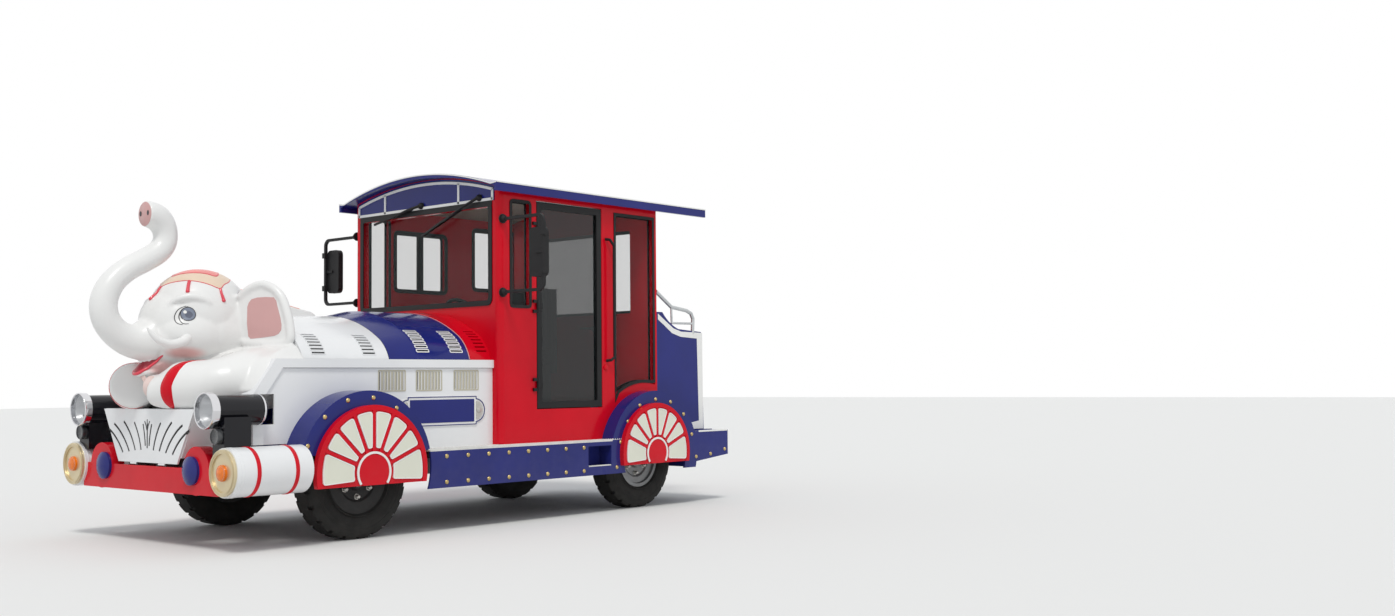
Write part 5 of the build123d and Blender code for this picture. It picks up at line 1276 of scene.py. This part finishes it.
low_line = [at(FRONT_S, y, 2380) for y in (-828, 828)]
high_line = [at(FRONT_S, 828 - 1656 * k / 40, arch(828 - 1656 * k / 40, 2600)) for k in range(41)]
slab(fascia, low_line + high_line, forward * 5 * MM)
for middle, width in ((2572, 20),):
    bow = [at(FRONT_S + 5, -812 + 1624 * k / 40, arch(-812 + 1624 * k / 40, middle)) for k in range(41)]
    strip(lattice, bow, width * MM, 6 * MM, forward)
strip(lattice, [at(FRONT_S + 5, -818, 2390), at(FRONT_S + 5, 818, 2390)], 20 * MM, 6 * MM, forward)
for y in (-812, -471, 428, 812):
    strip(lattice, [at(FRONT_S + 5, y, 2384), at(FRONT_S + 5, y, arch(y, 2572))], 20 * MM, 6 * MM, forward)
piece("windscreen_frame", screen_frame, black_satin)
piece("fascia_panel", fascia, blue_gloss)
piece("fascia_lattice", lattice, white_edge)

# %% Wipers
wipers = bmesh.new()
for pivot_y, bend_y, tip_y, tip_z in ((674, 195, 92, 2191), (-11, -252, -469, 2322)):
    pivot = at(FRONT_S + 12, pivot_y, 2408)
    tip = at(FRONT_S + 26, tip_y, tip_z)
    middle = pivot.lerp(tip, 0.72) + Vector((0.012, 0, 0))
    turned(wipers, pivot - Vector((0.008, 0, 0)), (1, 0, 0),
           [(0, 0.026), (0.016, 0.026), (0.026, 0.020), (0.034, 0.012), (0.036, 0.0)], 24)
    tube(wipers, [pivot + Vector((0.018, 0, 0)), pivot.lerp(tip, 0.3) + Vector((0.03, 0, 0)), middle],
         [0.012, 0.009, 0.007], 10)
    drop = (tip - pivot).normalized()
    blade_a = middle - drop * 0.235 - Vector((0.006, 0, 0))
    blade_b = middle + drop * 0.235 - Vector((0.006, 0, 0))
    strip(wipers, [blade_a, middle + Vector((0.006, 0, 0)), blade_b], 0.016, 0.010, (1, 0, 0))
    strip(wipers, [blade_a - Vector((0.012, 0, 0)), blade_b - Vector((0.012, 0, 0))], 0.007, 0.014, (1, 0, 0))
piece("windscreen_wipers", wipers, black_moulded)
print("cab front ready")

# %% [markdown]
# ## Roof
# The roof is a pressed sheet with a rolled pale edge all round, and a stretched beige lining hides
# its ribs from the driver.

# %% Roof edge and lining
roof_low, roof_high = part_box("cab_roof")
roof_edge, louvre_shade_and_roof_lining = bmesh.new(), bmesh.new()
front_s, rear_s = (roof_high.x - AXLE_X) / MM, (roof_low.x - AXLE_X) / MM


def roof_top(y):
    """Height of the top of the roof sheet."""
    return 2636 - 144 * (y / 900) ** 2 if abs(y) < 900 else 2492 + 8 * (abs(y) - 900) / 60


for side in (1, -1):
    strip(roof_edge, [at(front_s, 960 * side, 2497), at(rear_s, 960 * side, 2497)], 9 * MM, 3 * MM, (0, side, 0))
for end, way in ((front_s, 1), (rear_s, -1)):
    bow = [at(end, -958 + 1916 * k / 60, roof_top(-958 + 1916 * k / 60) - 5) for k in range(61)]
    strip(roof_edge, bow, 9 * MM, 3 * MM, (way, 0, 0))
piece("roof_edge_line", roof_edge, white_edge)
rows = []
for k in range(41):
    y = -826 + 1652 * k / 40
    z = roof_top(y) - 40
    rows.append([louvre_shade_and_roof_lining.verts.new(at(s, y, zz)) for s, zz in ((-1262, z), (-2928, z), (-2928, z - 6), (-1262, z - 6))])
for one, two in zip(rows, rows[1:]):
    for k in range(4):
        louvre_shade_and_roof_lining.faces.new((one[k], one[(k + 1) % 4], two[(k + 1) % 4], two[k]))
louvre_shade_and_roof_lining.faces.new(list(reversed(rows[0])))
louvre_shade_and_roof_lining.faces.new(rows[-1])
piece("roof_lining", louvre_shade_and_roof_lining, lining_cloth)
print("roof ready")

# %% [markdown]
# ## Window and door frames
# The side windows are held by black rubber mouldings with round corners. The rear one follows the
# wheel arch at its foot, and the far side has a sliding pane with a bar in its middle.

# %% Window mouldings
mouldings = bmesh.new()


def moulding(corners, y, facing, width=26, thick=5, radius=28):
    """A rubber frame on a side wall; corners are (station, height) and facing is +1 or -1."""
    loop = rounded([at(s, y, z) for s, z in corners], radius * MM, 5)
    closed_strip(mouldings, loop, width * MM, thick * MM, (0, facing, 0))


def box_corners(s0, s1, z0, z1, inset):
    """Corners of an upright rectangle, pulled in by inset."""
    return [(s0 + inset, z0 + inset), (s1 - inset, z0 + inset), (s1 - inset, z1 - inset), (s0 + inset, z1 - inset)]


foot = [(-2800 + 600 * math.cos(math.radians(a)), 430 + 600 * math.sin(math.radians(a))) for a in range(104, 53, -5)]
foot = [(s, z) for s, z in foot if -2922 < s < -2462]
rear_window = [(-2460, 2375), (-2922, 2375), (-2922, foot[0][1] + 4)] + foot + [(-2460, foot[-1][1] - 60)]
for facing, y in ((1, 880), (-1, 830)):
    moulding(box_corners(-1543, -1335, 1588, 2390, 6), y, facing, 24)
    loop = [at(s, y, z) for s, z in rear_window]
    closed_strip(mouldings, loop, 24 * MM, 5 * MM, (0, facing, 0))
for facing, y in ((-1, -880), (1, -830)):
    moulding(box_corners(-1543, -1335, 1588, 2390, 6), y, facing, 24)
    moulding(box_corners(-2140, -1590, 1800, 2300, 4), y, facing, 34, radius=40)
    moulding(box_corners(-2932, -2440, 1845, 2385, 4), y, facing, 34, radius=40)
strip(mouldings, [at(-1858, -846, 1806), at(-1858, -846, 2294)], 34 * MM, 14 * MM, (0, -1, 0))
strip(mouldings, [at(-1880, -838, 1812), at(-1880, -838, 2288)], 24 * MM, 8 * MM, (0, 1, 0))
rear = [at(-2960, y, z) for y, z in ((-612, 1608), (612, 1608), (612, 2292), (-612, 2292))]
closed_strip(mouldings, rounded(rear, 45 * MM, 5), 34 * MM, 5 * MM, (-1, 0, 0))
piece("window_mouldings", mouldings, black_moulded)
print("mouldings ready")

# %% [markdown]
# ## Door furniture, mirrors and rear panels
# A red lock button on the rear post, a lever inside the door, mirror glass with its chrome lip and
# the clamps that hold the mirror tube: small things that tell the eye how big the cab is.

# %% Lock, lever and mirrors
lock, lever, mirror_glass, clamps = bmesh.new(), bmesh.new(), bmesh.new(), bmesh.new()
turned(lock, at(-2345, 880, 1139), (0, 1, 0),
       [(0, 0.022), (0.006, 0.022), (0.010, 0.018), (0.012, 0.010), (0.012, 0.0)], 28)
piece("door_lock_button", lock, red_gloss)
turned(lever, at(-2262, 838, 1449), (0, -1, 0), [(0, 0.024), (0.012, 0.022), (0.020, 0.012), (0.028, 0.010)], 20)
tube(lever, [at(-2262, 815, 1449), at(-2200, 806, 1452), at(-2140, 812, 1446)], [0.009, 0.008, 0.007], 10)
piece("door_lever", lever, black_moulded, "cab_door")
for side in (1, -1):
    face = [at(-1311.5, y * side, z) for y, z in ((1174, 1806), (1306, 1806), (1306, 2134), (1174, 2134))]
    slab(mirror_glass, rounded(face, 26 * MM, 5), Vector((-0.003, 0, 0)))
    for z in (1692, 2238):
        turned(clamps, at(-1255, 892 * side, z), (0, side, 0),
               [(0, 0.026), (0.020, 0.026), (0.026, 0.018), (0.030, 0.014)], 20)
        turned(clamps, at(-1255, 884 * side, z), (0, side, 0), [(0, 0.036), (0.008, 0.036), (0.009, 0.020)], 20)
    for z in (1832, 2108):
        slab(clamps, [at(-1270, (1335 - 24) * side, z - 22), at(-1270, (1335 + 12) * side, z - 22),
                      at(-1270, (1335 + 12) * side, z + 22), at(-1270, (1335 - 24) * side, z + 22)], Vector((0.036, 0, 0)))
piece("mirror_glass", mirror_glass, chrome)
piece("mirror_clamps", clamps, black_moulded)

# %% Edging of the rear panels
edging = bmesh.new()
INNER = [(-2975, 1541), (-3044, 1499), (-3152, 1430), (-3262, 1401), (-3474, 1390), (-3492, 687), (-3406, 675),
         (-3350, 675)]
OUTER = [(-2975, 1590), (-3066, 1533), (-3172, 1470), (-3270, 1445), (-3545, 1440), (-3548, 618), (-3406, 618),
         (-3362, 618)]
for side in (1, -1):
    rows = [[edging.verts.new(at(*spot)) for spot in ((a, 880.3 * side, b), (c, 880.3 * side, d), (c, 882.0 * side, d),
                                                      (a, 882.0 * side, b))] for (a, b), (c, d) in zip(INNER, OUTER)]
    for one, two in zip(rows, rows[1:]):
        for k in range(4):
            edging.faces.new((one[k], one[(k + 1) % 4], two[(k + 1) % 4], two[k]))
    edging.faces.new(list(reversed(rows[0])))
    edging.faces.new(rows[-1])
    strip(edging, [at(-3345, 1000 * side, 603), at(-3728, 1000 * side, 603)], 14 * MM, 2 * MM, (0, side, 0))
piece("rear_panel_edging", edging, white_edge)
print("cab furniture ready")

# %% [markdown]
# ## Seat cushions
# The driver's seat is foam in a sewn cover. Each cushion starts as a block a little smaller than its
# solid, is woven into a dense skin and blown up like a real filled cover with the cloth solver, and
# no point may leave its start by more than a set distance. The piping and the stitched channels
# are laid on after the filling, because the weave would swallow them.

# %% Filling
def cushion(name, node, shrink, cap):
    """Blow up a block a little smaller than its solid; cap is how far in metres a point may move."""
    low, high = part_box(node)
    middle, half = (low + high) / 2, (high - low) / 2
    block = bmesh.new()
    bmesh.ops.create_cube(block, size=2.0)
    for v in block.verts:
        v.co = middle + Vector([v.co[i] * (half[i] - shrink[i]) for i in range(3)])
    bmesh.ops.bevel(block, geom=list(block.edges), offset=0.018, segments=4, profile=0.6, affect="EDGES")
    pad = piece(name, block, seat_cloth, sharp=180)
    settle(pad, "REMESH", "weave", mode="VOXEL", voxel_size=0.006, adaptivity=0)
    start = [v.co.copy() for v in pad.data.vertices]
    cloth = pad.modifiers.new("fill", "CLOTH")
    cloth.settings.use_pressure = True
    cloth.settings.uniform_pressure_force = 4
    cloth.settings.effector_weights.gravity = 0
    for moment in range(1, 21):
        scene.frame_set(moment)
    solved = pad.evaluated_get(bpy.context.evaluated_depsgraph_get()).to_mesh()
    swollen = [v.co.copy() for v in solved.vertices]
    pad.modifiers.remove(cloth)
    for v, one, two in zip(pad.data.vertices, start, swollen):
        move = two - one
        v.co = one + move * min(1, cap / max(move.length, 1e-6))
    settle(pad, "SUBSURF", "soften", levels=1, render_levels=1)
    pad.data.shade_smooth()
    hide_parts(node)
    print(name, len(pad.data.polygons), "faces", [round(v, 3) for v in pad.dimensions])
    return pad


def on_pad(pad, places, lift):
    """The nearest places on a pad, raised by lift in metres."""
    cover = BVHTree.FromPolygons([v.co.copy() for v in pad.data.vertices],
                                 [tuple(face.vertices) for face in pad.data.polygons])
    found = [cover.find_nearest(place) for place in places]
    return [spot + out * lift for spot, out, _, _ in found]


seat_pad = cushion("seat_cushion_cover", "seat_cushion", (0.014, 0.014, 0.010), 0.022)
back_pad = cushion("seat_back_cover", "seat_back_cushion", (0.010, 0.014, 0.014), 0.022)

# %% Piping and stitches
piping = bmesh.new()
rim = rounded([at(s, y, 1252) for s, y in ((-1906, 234), (-2372, 234), (-2372, -234), (-1906, -234))], 30 * MM, 5)
tube(piping, on_pad(seat_pad, rim + rim[:1], 0.001), 0.0042, 8)
rim = rounded([at(-2296, y, z) for y, z in ((234, 1280), (234, 1822), (-234, 1822), (-234, 1280))], 30 * MM, 5)
tube(piping, on_pad(back_pad, rim + rim[:1], 0.001), 0.0042, 8)
for y in (-120, 0, 120):
    tube(piping, on_pad(seat_pad, [at(-1925 - 17 * k, y, 1285) for k in range(26)], -0.0005), 0.0024, 6)
    tube(piping, on_pad(back_pad, [at(-2280, y, 1300 + 20 * k) for k in range(26)], -0.0005), 0.0024, 6)
piece("seat_piping", piping, black_moulded)

# %% [markdown]
# ## Fan grille
# The white flap has a fan of slots, bold and black from the radiator behind. Dark strips sit just
# inside the slots as painted shade, so the eye reads a deep opening, and a small V is drawn where the fan opens.

# %% Painted shade strips in the fan
FAN = [(512, 745, 316, 590), (438, 780, 232, 598), (308, 797, 154, 608), (170, 792, 78, 612), (56, 782, 24, 640)]


def arc_through(a, b, c, steps=24):
    """Points of the arc from a through b to c, all in one plane."""
    (ax, ay), (bx, by), (cx, cy) = a, b, c
    d = 2 * (ax * (by - cy) + bx * (cy - ay) + cx * (ay - by))
    ux = ((ax * ax + ay * ay) * (by - cy) + (bx * bx + by * by) * (cy - ay) + (cx * cx + cy * cy) * (ay - by)) / d
    uy = ((ax * ax + ay * ay) * (cx - bx) + (bx * bx + by * by) * (ax - cx) + (cx * cx + cy * cy) * (bx - ax)) / d
    r = math.hypot(ax - ux, ay - uy)
    start, stop = math.atan2(ay - uy, ax - ux), math.atan2(cy - uy, cx - ux)
    if stop - start > math.pi:
        stop -= 2 * math.pi
    if start - stop > math.pi:
        stop += 2 * math.pi
    angles = [start + (stop - start) * k / steps for k in range(steps + 1)]
    return [(ux + r * math.cos(t), uy + r * math.sin(t)) for t in angles]


fan = bmesh.new()
for top_y, top_z, low_y, low_z in FAN:
    for side in (1, -1):
        middle = (side * (top_y * 0.42 + low_y * 0.58), top_z * 0.56 + low_z * 0.44)
        bow = arc_through((side * top_y, top_z), middle, (side * low_y, low_z))
        strip(fan, [at(1015.5, y, z) for y, z in bow], 18 * MM, 1.5 * MM, (1, 0, 0))
strip(fan, [at(1015.5, 0, 622), at(1015.5, 0, 790)], 18 * MM, 1.5 * MM, (1, 0, 0))
piece("fan_painted_shade", fan, painted_shade_and_seam_dark, "grille_flap")
vee = bmesh.new()
strip(vee, [at(1020, 0, 770), at(1020, 0, 812)], 8 * MM, 1.2 * MM, (1, 0, 0))
for side in (1, -1):
    strip(vee, [at(1020, 4 * side, 744), at(1020, 14 * side, 772), at(1020, 32 * side, 800)], 9 * MM, 1.2 * MM, (1, 0, 0))
piece("fan_vee", vee, ink, "grille_flap")
print("fan ready")
